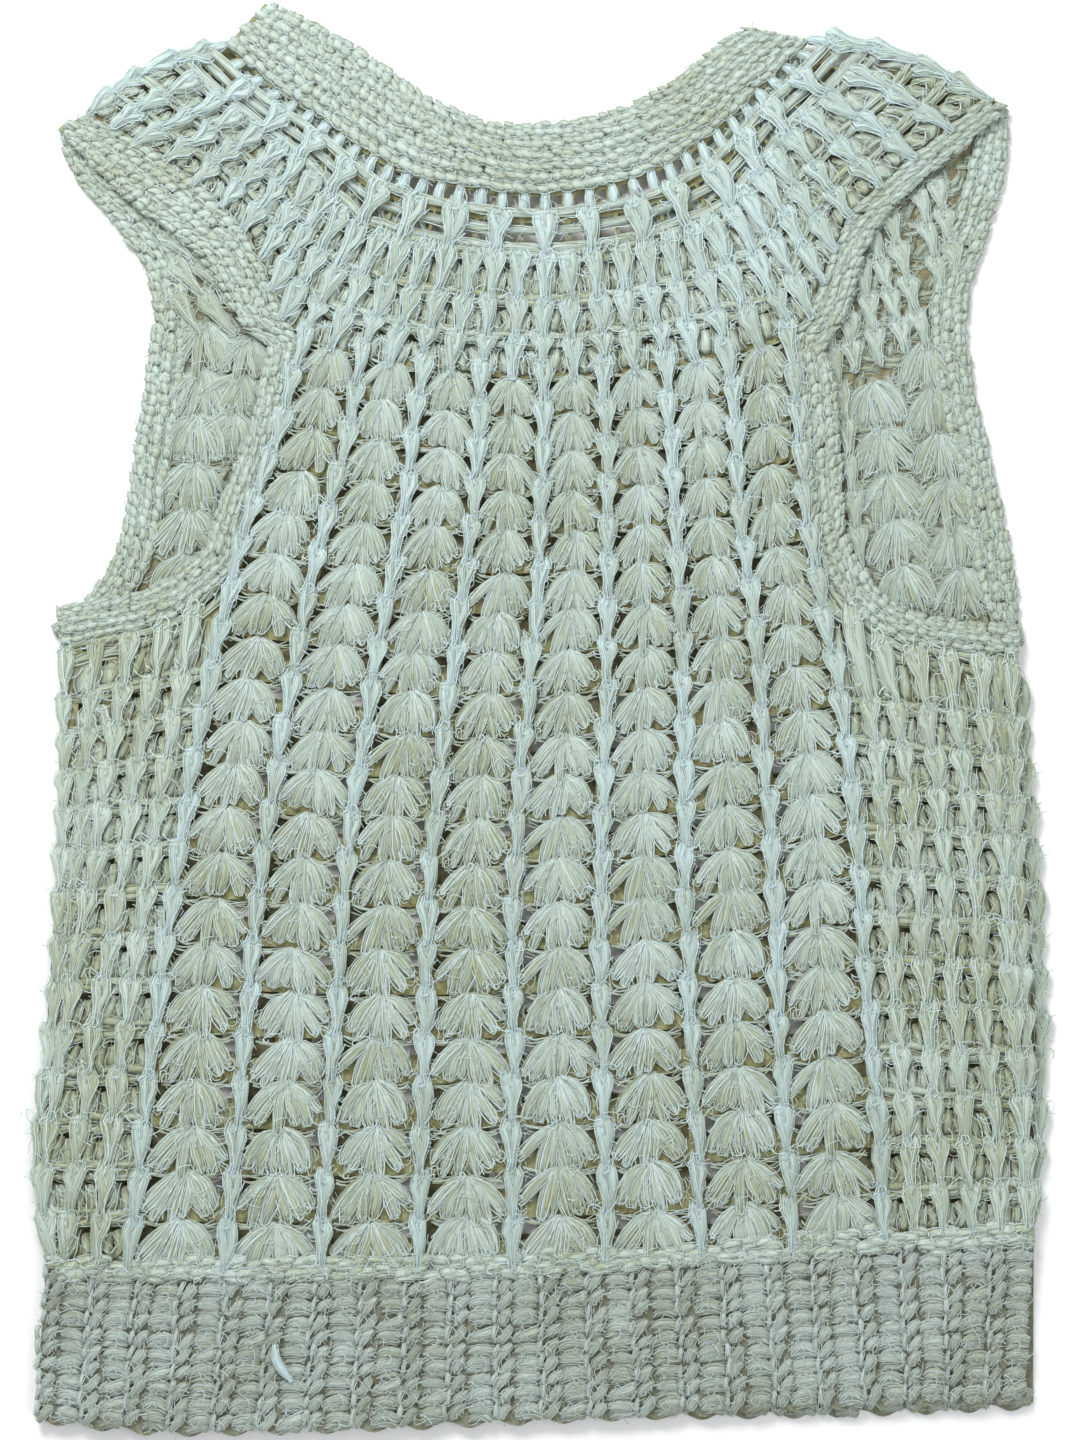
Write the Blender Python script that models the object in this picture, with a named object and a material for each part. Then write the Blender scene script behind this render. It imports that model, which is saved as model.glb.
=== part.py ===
"""A sleeveless crochet vest, laid flat on its front with the back uppermost.

The garment was worked as a tube with a round yoke, so it is parted at the side and shoulder folds
into an under layer, the front, and an upper layer, the back. Each layer has its panel, its hem rib,
its neck band and its two armhole bands. Columns of shell stitches run down between raised posts.
A column number counts the posts across, and a row number counts the stitch rows down, so that a
pair of them names any place on the cloth. The sizes here are in millimetres, and metres come last.
"""

import math
from collections import namedtuple

import bmesh
import bpy
import numpy as np
from mathutils import Vector
from mathutils.geometry import delaunay_2d_cdt

# Driving sizes
MM = 0.001
WALL = 2.6
LAYER_GAP = 0.3
SEAM_GAP = 0.3
UNDER_BASE = 0.0
UPPER_BASE = UNDER_BASE + WALL + LAYER_GAP
FOLD_WALL = 1.2

# The raised stitches, above the wall
POST_RISE = 2.0
POST_SHOULDER_RISE = 1.2
POST_FOOT_RISE = 0.2
YOKE_POST_RISE = 1.8
SIDE_POST_RISE = 1.6
SHELL_RISE = 1.5
SHELL_NECK_RISE = 0.3
SHELL_EDGE_RISE = 0.6
BAND_CROWN = 0.6
CROWNED = ((0.0, -0.7), (0.18, 0.2), (0.5, 1.0), (0.82, 0.2), (1.0, -1.2))
PLAIN = ((0.0, 0.0), (1.0, 0.0))
RIB_RISE = 1.1

# The stitch layout
MAIN_COLUMNS = 8
BODY_ROWS = 21
YOKE_FIRST, YOKE_LAST = -5, 12
LEFT_SIDE_COLUMNS, RIGHT_SIDE_COLUMNS = 4, 6
LEFT_SIDE_ROW, RIGHT_SIDE_ROW = 7, 8
UNDERARM_STEP = 0.5
ARMHOLE_ROW = 5.45
CORNER_COLUMN = 0.26
SHELL_MIDDLE = 0.45
ACROSS = (0.0, 0.09, 0.26, 0.5, 0.74, 0.91)
SIDE_ACROSS = (0.0, 0.33, 0.67)
YOKE_DEPTHS = {-5: 0.0, -4: 0.11, -3: 0.32, -2: 0.57, -1: 0.78, 0: 1.0}
YOKE_GAP_ROW = -4
YOKE_GAP_COLUMNS = range(-4, 11)
SHOULDER_BOW = 5.0
NECK_END_BOWS = (3.4, 6.5)
BAND_END_BOW = 0.5
CLOSEST_SIDE_POSTS = 2.3
NORMAL_EASINGS = 3

# The hem
RIBS = 22
HEM_SCALLOP = 1.5
RIB_ACROSS = (0.0, 0.25, 0.5, 0.75)

# The gaps of the under layer
UNDER_GAP_ROWS = range(8, 21)
UNDER_GAP_SIZE = (5.0, 8.0)
UNDER_FOLD_INSET = 1.0

# Where three posts and each row of stitches lie, from the first row under the yoke to the hem
Row = namedtuple("Row", "row first_x first_y middle_x middle_y last_x last_y")
BODY = (
    Row(0, -92.8, 148.6, 1.2, 134.6, 98.0, 149.8),
    Row(2, -100.2, 117.0, 0.8, 104.5, 101.0, 119.0),
    Row(4, -112.0, 84.2, 0.4, 74.1, 103.0, 88.1),
    Row(8, -128.3, 19.1, -4.3, 10.9, 114.7, 23.8),
    Row(12, -140.0, -49.1, -9.4, -54.6, 123.2, -42.5),
    Row(16, -150.2, -120.1, -10.1, -122.5, 127.9, -111.5),
    Row(19, -156.4, -175.1, -10.5, -175.1, 132.6, -165.0),
    Row(21, -161.1, -212.6, -10.5, -211.0, 134.6, -201.2),
)

# The side folds under the arms, with the distance between the posts beside them
Fold = namedtuple("Fold", "row x y pitch")
LEFT_FOLD = (
    Fold(7, -187.0, 22.6, 11.7),
    Fold(12, -188.4, -51.5, 11.0),
    Fold(16, -192.7, -121.7, 11.7),
    Fold(19, -197.3, -175.5, 12.3),
    Fold(21, -192.7, -212.0, 12.5),
)
RIGHT_FOLD = (
    Fold(8, 185.6, 15.6, 11.3),
    Fold(12, 188.0, -47.6, 11.3),
    Fold(16, 190.3, -113.9, 11.3),
    Fold(19, 191.1, -165.8, 11.3),
    Fold(21, 192.3, -199.7, 11.3),
)
UNDER_RIGHT_FOLD = (
    Fold(8, 188.4, 15.6, 0),
    Fold(12, 193.0, -47.6, 0),
    Fold(16, 197.0, -113.9, 0),
    Fold(19, 195.3, -165.8, 0),
    Fold(21, 193.0, -200.6, 0),
)

# The edge of the panel under each arm, from the armhole's side to the fold
Edge = namedtuple("Edge", "column x y")
LEFT_UNDERARM = (
    Edge(-4, -186.4, 29.3),
    Edge(-3, -159.9, 34.3),
    Edge(-2, -147.0, 38.2),
    Edge(-1, -134.6, 44.9),
)
RIGHT_UNDERARM = (
    Edge(9, 120.1, 43.7),
    Edge(10, 132.6, 33.5),
    Edge(11, 146.3, 28.9),
    Edge(12, 159.1, 27.3),
    Edge(13, 171.6, 26.1),
    Edge(14, 185.6, 25.0),
)

# The round yoke of the back: each post from the neck's edge over the band's seam to its lower end
Spoke = namedtuple("Spoke", "column edge_x edge_y seam_x seam_y end_x end_y")
YOKE = (
    Spoke(-5, -107.3, 279.6, -122.1, 263.6, -176.3, 236.7),
    Spoke(-4, -93.6, 273.8, -108.4, 250.4, -156.0, 226.2),
    Spoke(-2, -67.1, 258.2, -82.7, 233.2, -115.1, 191.9),
    Spoke(0, -44.9, 243.0, -58.1, 216.5, -92.8, 148.6),
    Spoke(2, -23.4, 233.2, -30.4, 208.7, -45.7, 137.9),
    Spoke(4, 2.0, 231.3, 2.3, 205.5, 1.2, 134.6),
    Spoke(6, 28.1, 236.3, 35.9, 211.4, 48.3, 138.4),
    Spoke(8, 51.5, 248.0, 62.4, 225.4, 98.0, 149.8),
    Spoke(10, 69.4, 262.1, 84.6, 245.7, 120.9, 197.0),
    Spoke(12, 81.1, 270.3, 104.5, 265.2, 173.2, 243.0),
)

# The neck band of the front, which is cut lower
Neck = namedtuple("Neck", "station edge_x edge_y seam_x seam_y")
UNDER_NECK = (
    Neck(0, -108.0, 276.9, -120.1, 262.1),
    Neck(1, -83.9, 245.7, -105.3, 230.9),
    Neck(2, -54.6, 210.6, -74.5, 194.2),
    Neck(3, -37.1, 184.1, -57.7, 168.9),
    Neck(4, -23.4, 167.7, -37.4, 146.3),
    Neck(5, 2.0, 162.6, 2.0, 136.9),
    Neck(6, 23.4, 166.9, 39.0, 146.3),
    Neck(7, 42.9, 195.0, 63.2, 179.4),
    Neck(8, 72.2, 230.1, 93.6, 215.7),
    Neck(9, 86.6, 262.1, 106.1, 256.6),
)

# The armhole seams of the front, with the width of the band that goes on them
Arm = namedtuple("Arm", "station x y width")
UNDER_LEFT_ARM = (
    Arm(0, -176.3, 235.6, 11.0),
    Arm(1, -169.7, 219.2, 12.5),
    Arm(2, -154.8, 202.8, 12.9),
    Arm(3, -142.4, 184.1, 12.9),
    Arm(4, -136.9, 164.6, 12.9),
    Arm(5, -138.1, 143.5, 12.9),
    Arm(6, -140.4, 123.6, 12.9),
    Arm(7, -143.9, 103.7, 12.9),
    Arm(8, -147.0, 83.9, 12.9),
    Arm(9, -152.1, 60.5, 12.9),
    Arm(10, -166.9, 39.0, 12.0),
    Arm(11, -184.9, 26.5, 10.5),
)
UNDER_RIGHT_ARM = (
    Arm(0, 171.6, 240.6, 10.0),
    Arm(1, 168.1, 220.4, 12.9),
    Arm(2, 164.6, 205.9, 12.9),
    Arm(3, 159.9, 191.1, 12.9),
    Arm(4, 154.4, 173.6, 12.9),
    Arm(5, 152.1, 152.1, 12.9),
    Arm(6, 156.4, 122.9, 12.9),
    Arm(7, 161.1, 103.0, 12.9),
    Arm(8, 165.4, 83.1, 12.9),
    Arm(9, 169.3, 65.1, 12.9),
    Arm(10, 173.2, 44.5, 12.5),
    Arm(11, 184.5, 27.0, 4.5),
)

# The width of the back's armhole bands along the column or row that they pass
Width = namedtuple("Width", "station width")
LEFT_BAND_WIDTHS = (
    Width(-5, 12.5),
    Width(-4, 19.0),
    Width(-2, 19.0),
    Width(0, 13.5),
    Width(2, 10.4),
    Width(4, 10.8),
    Width(6, 12.8),
    Width(10, 13.3),
)
RIGHT_BAND_WIDTHS = (
    Width(-4, 9.0),
    Width(-3, 8.5),
    Width(-2, 10.5),
    Width(0, 13.0),
    Width(4, 13.5),
    Width(6, 12.5),
    Width(12, 10.0),
)

# The hem's lower edge, against the distance across it
Hem = namedtuple("Hem", "across x y")
HEM_EDGE = (
    Hem(0.0, -197.0, -273.0),
    Hem(0.12, -152.0, -278.0),
    Hem(0.25, -101.4, -277.7),
    Hem(0.47, -11.7, -274.2),
    Hem(0.85, 137.7, -267.2),
    Hem(1.0, 189.5, -265.6),
)
UNDER_HEM_EDGE = (
    Hem(0.0, -194.0, -273.0),
    Hem(0.47, -11.7, -272.5),
    Hem(0.85, 137.7, -270.7),
    Hem(1.0, 192.7, -268.3),
)

# The front's gaps that show in the armholes: the first and last of each column
GapColumn = namedtuple("GapColumn", "first_x first_y last_x last_y count")
UNDER_GAP_COLUMNS = (
    GapColumn(-132.6, 139.0, -140.4, 71.0, 5),
    GapColumn(128.0, 118.0, 146.0, 62.0, 4),
    GapColumn(145.0, 130.0, 153.5, 75.0, 4),
)

YARN_COLOUR = (0.60, 0.62, 0.46)
YARN_ROUGHNESS = 0.9


def smooth(table, column, at):
    """A named column of a table at a place between its rows, on a smooth curve through them."""
    places = np.array([row[0] for row in table], float)
    values = np.array([getattr(row, column) for row in table], float)
    slopes = np.gradient(values, places)
    k = int(np.clip(np.searchsorted(places, at, side="right") - 1, 0, len(places) - 2))
    span = places[k + 1] - places[k]
    t = (at - places[k]) / span
    from_value = values[k] * (2 * t**3 - 3 * t**2 + 1)
    to_value = values[k + 1] * (3 * t**2 - 2 * t**3)
    from_slope = slopes[k] * span * (t**3 - 2 * t**2 + t)
    to_slope = slopes[k + 1] * span * (t**3 - t**2)
    return from_value + to_value + from_slope + to_slope


def point(table, at, x="x", y="y"):
    return np.array([smooth(table, x, at), smooth(table, y, at)])


def blended(points, fraction):
    """Between two points by a fraction."""
    return points[0] * (1 - fraction) + points[1] * fraction


def body_point(column, row):
    """On the main block, by the curve through its first, middle and last posts."""
    t = column / MAIN_COLUMNS
    first = point(BODY, row, "first_x", "first_y")
    middle = point(BODY, row, "middle_x", "middle_y")
    last = point(BODY, row, "last_x", "last_y")
    return first * (1 - t) * (1 - 2 * t) + middle * 4 * t * (1 - t) + last * t * (2 * t - 1)


def yoke_end(column):
    if 0 <= column <= MAIN_COLUMNS:
        return body_point(column, 0)
    return point(YOKE, column, "end_x", "end_y")


def bowed(start, end, column, depth, bow):
    """How far the cloth bulges over the shoulder fold, which fades over one column."""
    beyond = max(YOKE_FIRST + 1 - column, column - YOKE_LAST + 1, 0)
    along = end - start
    outward = np.array([along[1], -along[0]]) / np.linalg.norm(along)
    if column > MAIN_COLUMNS:
        outward = -outward
    return outward * bow * beyond * math.sin(math.pi * depth)


def yoke_point(column, row):
    depth = YOKE_DEPTHS[row]
    seam = point(YOKE, column, "seam_x", "seam_y")
    end = yoke_end(column)
    return blended((seam, end), depth) + bowed(seam, end, column, depth, SHOULDER_BOW)


def side_post(column, row):
    """On a whole side post, no nearer the fold than the posts beyond it allow."""
    left = column <= 0
    fold = LEFT_FOLD if left else RIGHT_FOLD
    count = LEFT_SIDE_COLUMNS if left else RIGHT_SIDE_COLUMNS
    outward = -1 if left else 1
    steps = -column if left else column - MAIN_COLUMNS
    main = body_point(0 if left else MAIN_COLUMNS, row)
    edge = point(fold, row)
    if steps == count:
        return edge
    reach = min(
        steps * smooth(fold, "pitch", row),
        abs(edge[0] - main[0]) - (count - steps) * CLOSEST_SIDE_POSTS,
    )
    fraction = reach / abs(edge[0] - main[0])
    return np.array([main[0] + outward * reach, blended((main[1], edge[1]), fraction)])


def side_point(column, row):
    low = math.floor(column)
    part = column - low
    if not part:
        return side_post(low, row)
    return blended((side_post(low, row), side_post(low + 1, row)), part)


def underarm_point(column):
    """On the panel's edge under the arm, which starts at the armhole's lowest main row."""
    if column <= 0:
        start = body_point(0, ARMHOLE_ROW)
        table = LEFT_UNDERARM + (Edge(0, *start),)
    else:
        start = body_point(MAIN_COLUMNS, ARMHOLE_ROW)
        table = (Edge(MAIN_COLUMNS, *start),) + RIGHT_UNDERARM
    return point(table, column)


def back_point(column, row):
    """Any place on the back, in the plane of the cloth."""
    if row <= 0:
        return yoke_point(column, row)
    if 0 <= column <= MAIN_COLUMNS:
        return body_point(column, row)
    if row in (LEFT_SIDE_ROW - UNDERARM_STEP, RIGHT_SIDE_ROW - UNDERARM_STEP):
        return underarm_point(column)
    return side_point(column, row)


def nearest_fraction(value):
    return round(value - math.floor(value), 2)


def yoke_rise(column, row):
    if column in (YOKE_FIRST, YOKE_LAST):
        return FOLD_WALL - WALL
    if row == YOKE_FIRST:
        return 0.0
    post = {0.0: POST_RISE, 0.09: POST_SHOULDER_RISE, 0.5: YOKE_POST_RISE, 0.91: POST_SHOULDER_RISE}
    return post.get(nearest_fraction(column), 0.0)


def shell_rise(column, row):
    fraction = nearest_fraction(column)
    if fraction == 0.5:
        return SHELL_RISE if nearest_fraction(row) else SHELL_NECK_RISE
    return {0.0: POST_RISE, 0.26: SHELL_EDGE_RISE, 0.74: SHELL_EDGE_RISE}.get(fraction, POST_FOOT_RISE)


def back_rise(column, row):
    """How far the stitches stand above the back's wall, or below it at a fold."""
    if row <= 0:
        return yoke_rise(column, row)
    if 0 <= column <= MAIN_COLUMNS:
        return shell_rise(column, row)
    if column in (-LEFT_SIDE_COLUMNS, MAIN_COLUMNS + RIGHT_SIDE_COLUMNS):
        return FOLD_WALL - WALL
    return SIDE_POST_RISE if column == round(column) else 0.0


class Sheet:
    """The outer side of a piece of cloth, gathered face by face, with each place made once."""

    def __init__(self, place):
        self.place = place
        self.numbers = {}
        self.points = []
        self.faces = []

    def vertex(self, key):
        if key not in self.numbers:
            self.numbers[key] = len(self.points)
            self.points.append(self.place(*key))
        return self.numbers[key]

    def face(self, keys):
        """Takes the keys anticlockwise, as seen from above."""
        self.faces.append([self.vertex(key) for key in keys])

    def cell(self, left, right, top, bottom):
        self.face(((left, top), (left, bottom), (right, bottom), (right, top)))


def sides(face):
    return list(zip(face, face[1:] + face[:1]))


def rim_edges(faces):
    """The directed edges that only one face uses."""
    directed = {side for face in faces for side in sides(face)}
    return sorted((a, b) for a, b in directed if (b, a) not in directed)


def filled(points, edges):
    """Triangles that fill the plane to the left of the rim's edges, clockwise from above."""
    rim = sorted({vertex for edge in edges for vertex in edge})
    order = {vertex: k for k, vertex in enumerate(rim)}
    flat = [Vector((points[vertex][0], points[vertex][1])) for vertex in rim]
    lines = {(order[a], order[b]) for a, b in edges}
    _, _, raw, sources, _, _ = delaunay_2d_cdt(flat, list(lines), [], 0, 1e-9)
    triangles = [[sources[k][0] for k in triangle] for triangle in raw]
    owner = {side: k for k, triangle in enumerate(triangles) for side in sides(triangle)}
    kept = {owner[line] for line in lines}
    waiting = list(kept)
    while waiting:
        for a, b in sides(triangles[waiting.pop()]):
            beside = owner.get((b, a))
            if (a, b) not in lines and beside not in kept:
                kept.add(beside)
                waiting.append(beside)
    return [[rim[k] for k in reversed(triangles[number])] for number in sorted(kept)]


def half_steps(first, last):
    return [first + k / 2 for k in range(int(2 * (last - first)) + 1)]


def yarn(name):
    """The piece's own material, a pale cream yarn."""
    material = bpy.data.materials.new(name)
    material.use_nodes = True
    shader = material.node_tree.nodes["Principled BSDF"]
    shader.inputs["Base Color"].default_value = (*YARN_COLOUR, 1)
    shader.inputs["Roughness"].default_value = YARN_ROUGHNESS
    shader.inputs["Metallic"].default_value = 0.0
    return material


def solid(name, points, faces, base):
    """Closes a piece: its outer side, walls down from the rim and a plane inner side at base."""
    edges = rim_edges(faces)
    below = {}
    corners = [tuple(corner) for corner in points]
    for vertex in sorted({vertex for edge in edges for vertex in edge}):
        below[vertex] = len(corners)
        corners.append((points[vertex][0], points[vertex][1], base))
    walls = [[b, a, below[a], below[b]] for a, b in edges]
    floor = [[below[vertex] for vertex in face] for face in filled(points, edges)]
    mesh = bpy.data.meshes.new(name)
    mesh.from_pydata([Vector(corner) * MM for corner in corners], [], faces + walls + floor)
    shape = bmesh.new()
    shape.from_mesh(mesh)
    bmesh.ops.triangulate(shape, faces=shape.faces)
    shape.to_mesh(mesh)
    shape.free()
    mesh.materials.append(yarn(name))
    piece = bpy.data.objects.new(name, mesh)
    bpy.context.scene.collection.objects.link(piece)
    return piece


def numbered(start, stop, fractions):
    """The places start, start + fraction, and so on to stop."""
    return [whole + part for whole in range(start, stop) for part in fractions] + [stop]


def shell_gap(column):
    """Each shell's larger gap, on the side of its column that is nearer the middle of the back."""
    return 0.74 if column < MAIN_COLUMNS // 2 else 0.09


def add_body(sheet):
    for column in range(MAIN_COLUMNS):
        across = [column + part for part in ACROSS] + [column + 1]
        for row in range(BODY_ROWS):
            for left, right in zip(across, across[1:]):
                if left != column + shell_gap(column):
                    sheet.cell(left, right, row, row + SHELL_MIDDLE)
                sheet.cell(left, right, row + SHELL_MIDDLE, row + 1)


def add_yoke(sheet):
    across = numbered(YOKE_FIRST, YOKE_LAST, ACROSS)
    for row in range(YOKE_FIRST, 0):
        for left, right in zip(across, across[1:]):
            in_gap = row == YOKE_GAP_ROW and math.floor(left) in YOKE_GAP_COLUMNS
            if not (in_gap and nearest_fraction(left) in (0.26, 0.5)):
                sheet.cell(left, right, row, row + 1)


def main_edge(column, first_row, last_row):
    """The keys down a main post's line, where a side joins it."""
    rows = numbered(math.floor(first_row), last_row, (0.0, SHELL_MIDDLE))
    return [(column, row) for row in rows if row >= first_row]


def add_side(sheet, columns, main, first_row):
    """The plain post rows beside the main block, from the armhole's edge to the hem."""
    top = first_row - UNDERARM_STEP
    rows = [top] + list(range(first_row, BODY_ROWS + 1))
    for left, right in zip(columns, columns[1:]):
        for upper, lower in zip(rows, rows[1:]):
            start = ARMHOLE_ROW if upper == top else upper
            left_line = [(left, upper), (left, lower)]
            right_line = [(right, upper), (right, lower)]
            if left == main:
                left_line = main_edge(main, start, lower)
            if right == main:
                right_line = main_edge(main, start, lower)
            sheet.face(left_line + right_line[::-1])


def make_back():
    """The back panel, whose outer side holds the posts, the shells and the gaps beside them."""

    def place(column, row):
        x, y = back_point(column, row)
        return x, y, UPPER_BASE + WALL + back_rise(column, row)

    sheet = Sheet(place)
    add_yoke(sheet)
    add_body(sheet)
    add_side(sheet, numbered(-LEFT_SIDE_COLUMNS, 0, SIDE_ACROSS), 0, LEFT_SIDE_ROW)
    right = numbered(MAIN_COLUMNS, MAIN_COLUMNS + RIGHT_SIDE_COLUMNS, SIDE_ACROSS)
    add_side(sheet, right, MAIN_COLUMNS, RIGHT_SIDE_ROW)
    solid("back_panel", sheet.points, sheet.faces, UPPER_BASE)


def turned(loop, anticlockwise):
    """The loop, reversed unless it already runs the way that is asked for."""
    x, y = np.array(loop).T
    area = np.sum(x * np.roll(y, -1) - y * np.roll(x, -1))
    return loop if (area > 0) == anticlockwise else loop[::-1]


def flat_piece(name, outline, gaps, base):
    """A plain wall from one outline, with gaps cut through it."""
    loops = [turned(outline, True)] + [turned(gap, False) for gap in gaps]
    points = [(*at, base + WALL) for loop in loops for at in loop]
    edges = []
    start = 0
    for loop in loops:
        count = len(loop)
        edges += [(start + k, start + (k + 1) % count) for k in range(count)]
        start += count
    faces = [face[::-1] for face in filled(points, edges)]
    solid(name, points, faces, base)


def shoulder_line(start, end, column):
    """The front's edge along a shoulder fold, a little inside the back's."""
    steps = np.linspace(0, 1, 6)[1:-1]
    bow = SHOULDER_BOW - UNDER_FOLD_INSET
    return [blended((start, end), t) + bowed(start, end, column, t, bow) for t in steps]


def under_right(row):
    return point(UNDER_RIGHT_FOLD, row)


def under_left(row):
    return point(LEFT_FOLD, row) + np.array([UNDER_FOLD_INSET, 0])


def box_gap(middle, size):
    """The four corners of one gap of the under layer."""
    (x, y), (wide, long) = middle, size
    corners = ((-1, -1), (1, -1), (1, 1), (-1, 1))
    return [np.array([x + a * wide / 2, y + b * long / 2]) for a, b in corners]


def make_front():
    """The front panel, the plain under layer, with its gaps in line with the back's."""
    neck = [point(UNDER_NECK, at, "seam_x", "seam_y") for at in half_steps(0, len(UNDER_NECK) - 1)]
    right_arm = [point(UNDER_RIGHT_ARM, at) for at in half_steps(0, len(UNDER_RIGHT_ARM) - 1)]
    left_arm = [point(UNDER_LEFT_ARM, at) for at in half_steps(0, len(UNDER_LEFT_ARM) - 1)]
    right = [under_right(row) for row in range(RIGHT_SIDE_ROW, BODY_ROWS + 1)]
    left = [under_left(row) for row in range(LEFT_SIDE_ROW, BODY_ROWS + 1)]
    hem = [body_point(column, BODY_ROWS) for column in range(MAIN_COLUMNS + 1)]
    outline = (
        neck
        + shoulder_line(neck[-1], right_arm[0], YOKE_LAST)
        + right_arm
        + right
        + hem[::-1]
        + left[::-1]
        + left_arm[::-1]
        + shoulder_line(neck[0], left_arm[0], YOKE_FIRST)[::-1]
    )
    gaps = []
    for row in UNDER_GAP_ROWS:
        for column in range(MAIN_COLUMNS):
            low = shell_gap(column)
            high = ACROSS[ACROSS.index(low) + 1]
            corners = ((low, 0), (low, SHELL_MIDDLE), (high, SHELL_MIDDLE), (high, 0))
            gaps.append([body_point(column + across, row + down) for across, down in corners])
    for line in UNDER_GAP_COLUMNS:
        for t in np.linspace(0, 1, line.count):
            middle = blended((np.array(line[0:2]), np.array(line[2:4])), t)
            gaps.append(box_gap(middle, UNDER_GAP_SIZE))
    flat_piece("front_panel", outline, gaps, UNDER_BASE)


def unit(direction):
    return direction / np.linalg.norm(direction)


def sideways(points):
    """The unit direction to the left of each point of a line, eased from point to point."""
    line = np.array(points)
    along = np.gradient(line, axis=0)
    left = np.array([unit(step) for step in np.stack([-along[:, 1], along[:, 0]], axis=1)])
    for _ in range(NORMAL_EASINGS):
        left[1:-1] = (left[:-2] + 2 * left[1:-1] + left[2:]) / 4
    return np.array([unit(step) for step in left])


def make_band(name, seam, edge, base, profile, end_bows):
    """A band from its seam line to its free edge, whose two ends may bulge over a fold."""
    points = []
    bulges = np.zeros((len(seam), 2))
    bulges[0] = end_bows[0] * unit(seam[0] - seam[1])
    bulges[-1] = end_bows[1] * unit(seam[-1] - seam[-2])
    for start, end, bulge in zip(seam, edge, bulges):
        for across, crown in profile:
            x, y = blended((start, end), across) + bulge * math.sin(math.pi * across)
            points.append((x, y, base + WALL + BAND_CROWN * crown))
    size = len(profile)
    faces = []
    for station in range(len(seam) - 1):
        for k in range(size - 1):
            a = station * size + k
            faces.append([a, a + size, a + size + 1, a + 1])
    (ax, ay, _), (bx, by, _), (cx, cy, _) = (points[k] for k in faces[0][:3])
    if (bx - ax) * (cy - ay) - (by - ay) * (cx - ax) < 0:
        faces = [face[::-1] for face in faces]
    solid(name, points, faces, base)


def offset_band(name, seam, widths, side, base, profile, first=None):
    """A band of a given width, laid a seam's gap away from the panel's edge."""
    out = sideways(seam) * side
    start = seam + out * SEAM_GAP
    if first is not None:
        out[0] = first
    edge = start + out * np.array(widths)[:, None]
    make_band(name, start, edge, base, profile, (BAND_END_BOW, BAND_END_BOW))


def make_neck_bands():
    for name, table, stations, base, profile, bows in (
        ("neck_band_back", YOKE, half_steps(YOKE_FIRST, YOKE_LAST), UPPER_BASE, CROWNED, NECK_END_BOWS),
        ("neck_band_front", UNDER_NECK, half_steps(0, len(UNDER_NECK) - 1), UNDER_BASE, PLAIN, (0, 0)),
    ):
        edge = [point(table, at, "edge_x", "edge_y") for at in stations]
        seam = [point(table, at, "seam_x", "seam_y") for at in stations]
        start = [low + unit(top - low) * SEAM_GAP for low, top in zip(seam, edge)]
        make_band(name, start, edge, base, profile, bows)


def back_armhole(left):
    """The stations round a back armhole with their points: shoulder, side and underarm."""
    main = 0 if left else MAIN_COLUMNS
    outward = -1 if left else 1
    shoulder_columns = YOKE_LAST - MAIN_COLUMNS if not left else -YOKE_FIRST
    side_columns = LEFT_SIDE_COLUMNS if left else RIGHT_SIDE_COLUMNS
    over = half_steps(0, shoulder_columns) + [CORNER_COLUMN]
    shoulder = [(-out, yoke_end(main + outward * out)) for out in sorted(over, reverse=True)]
    side = [(row, body_point(main, row)) for row in list(range(1, 6)) + [ARMHOLE_ROW]]
    under = half_steps(0, side_columns)[1:] + [CORNER_COLUMN]
    below = [(ARMHOLE_ROW + out, underarm_point(main + outward * out)) for out in sorted(under)]
    return shoulder + side + below


def make_armhole_bands():
    for side_name, widths, arm, side in (
        ("left", LEFT_BAND_WIDTHS, UNDER_LEFT_ARM, -1),
        ("right", RIGHT_BAND_WIDTHS, UNDER_RIGHT_ARM, 1),
    ):
        stations = back_armhole(side_name == "left")
        seam = np.array([at for _, at in stations])
        wide = [smooth(widths, "width", station) for station, _ in stations]
        shoulder = YOKE_FIRST if side_name == "left" else YOKE_LAST
        fold = unit(yoke_end(shoulder) - point(YOKE, shoulder, "seam_x", "seam_y"))
        offset_band(f"armhole_band_{side_name}_back", seam, wide, side, UPPER_BASE, CROWNED, fold)
        steps = half_steps(0, len(arm) - 1)
        seam = np.array([point(arm, at) for at in steps])
        wide = [smooth(arm, "width", at) for at in steps]
        offset_band(f"armhole_band_{side_name}_front", seam, wide, side, UNDER_BASE, PLAIN)


def make_hem(name, top_line, edge_table, base, raised):
    """The hem rib: upright ribs under the panel's last row, with a scallop at the foot of each."""
    top_x = [at[0] for at in top_line]
    top_y = [at[1] for at in top_line]
    across = [number / RIBS for number in numbered(0, RIBS, RIB_ACROSS)]
    points = []
    for at in across:
        phase = math.cos(2 * math.pi * at * RIBS)
        rise = RIB_RISE * (1 - phase) / 2 if raised else 0.0
        if raised and at in (0, 1):
            rise = FOLD_WALL - WALL
        x = blended((top_x[0], top_x[-1]), at)
        top = np.array([x, np.interp(x, top_x, top_y) - SEAM_GAP])
        foot = point(edge_table, at) + np.array([0, HEM_SCALLOP * phase])
        for down in (0.0, 0.5, 1.0):
            x, y = blended((top, foot), down)
            points.append((x, y, base + WALL + rise))
    faces = []
    for station in range(len(across) - 1):
        for down in range(2):
            a = station * 3 + down
            faces.append([a, a + 1, a + 4, a + 3])
    solid(name, points, faces, base)


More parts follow.
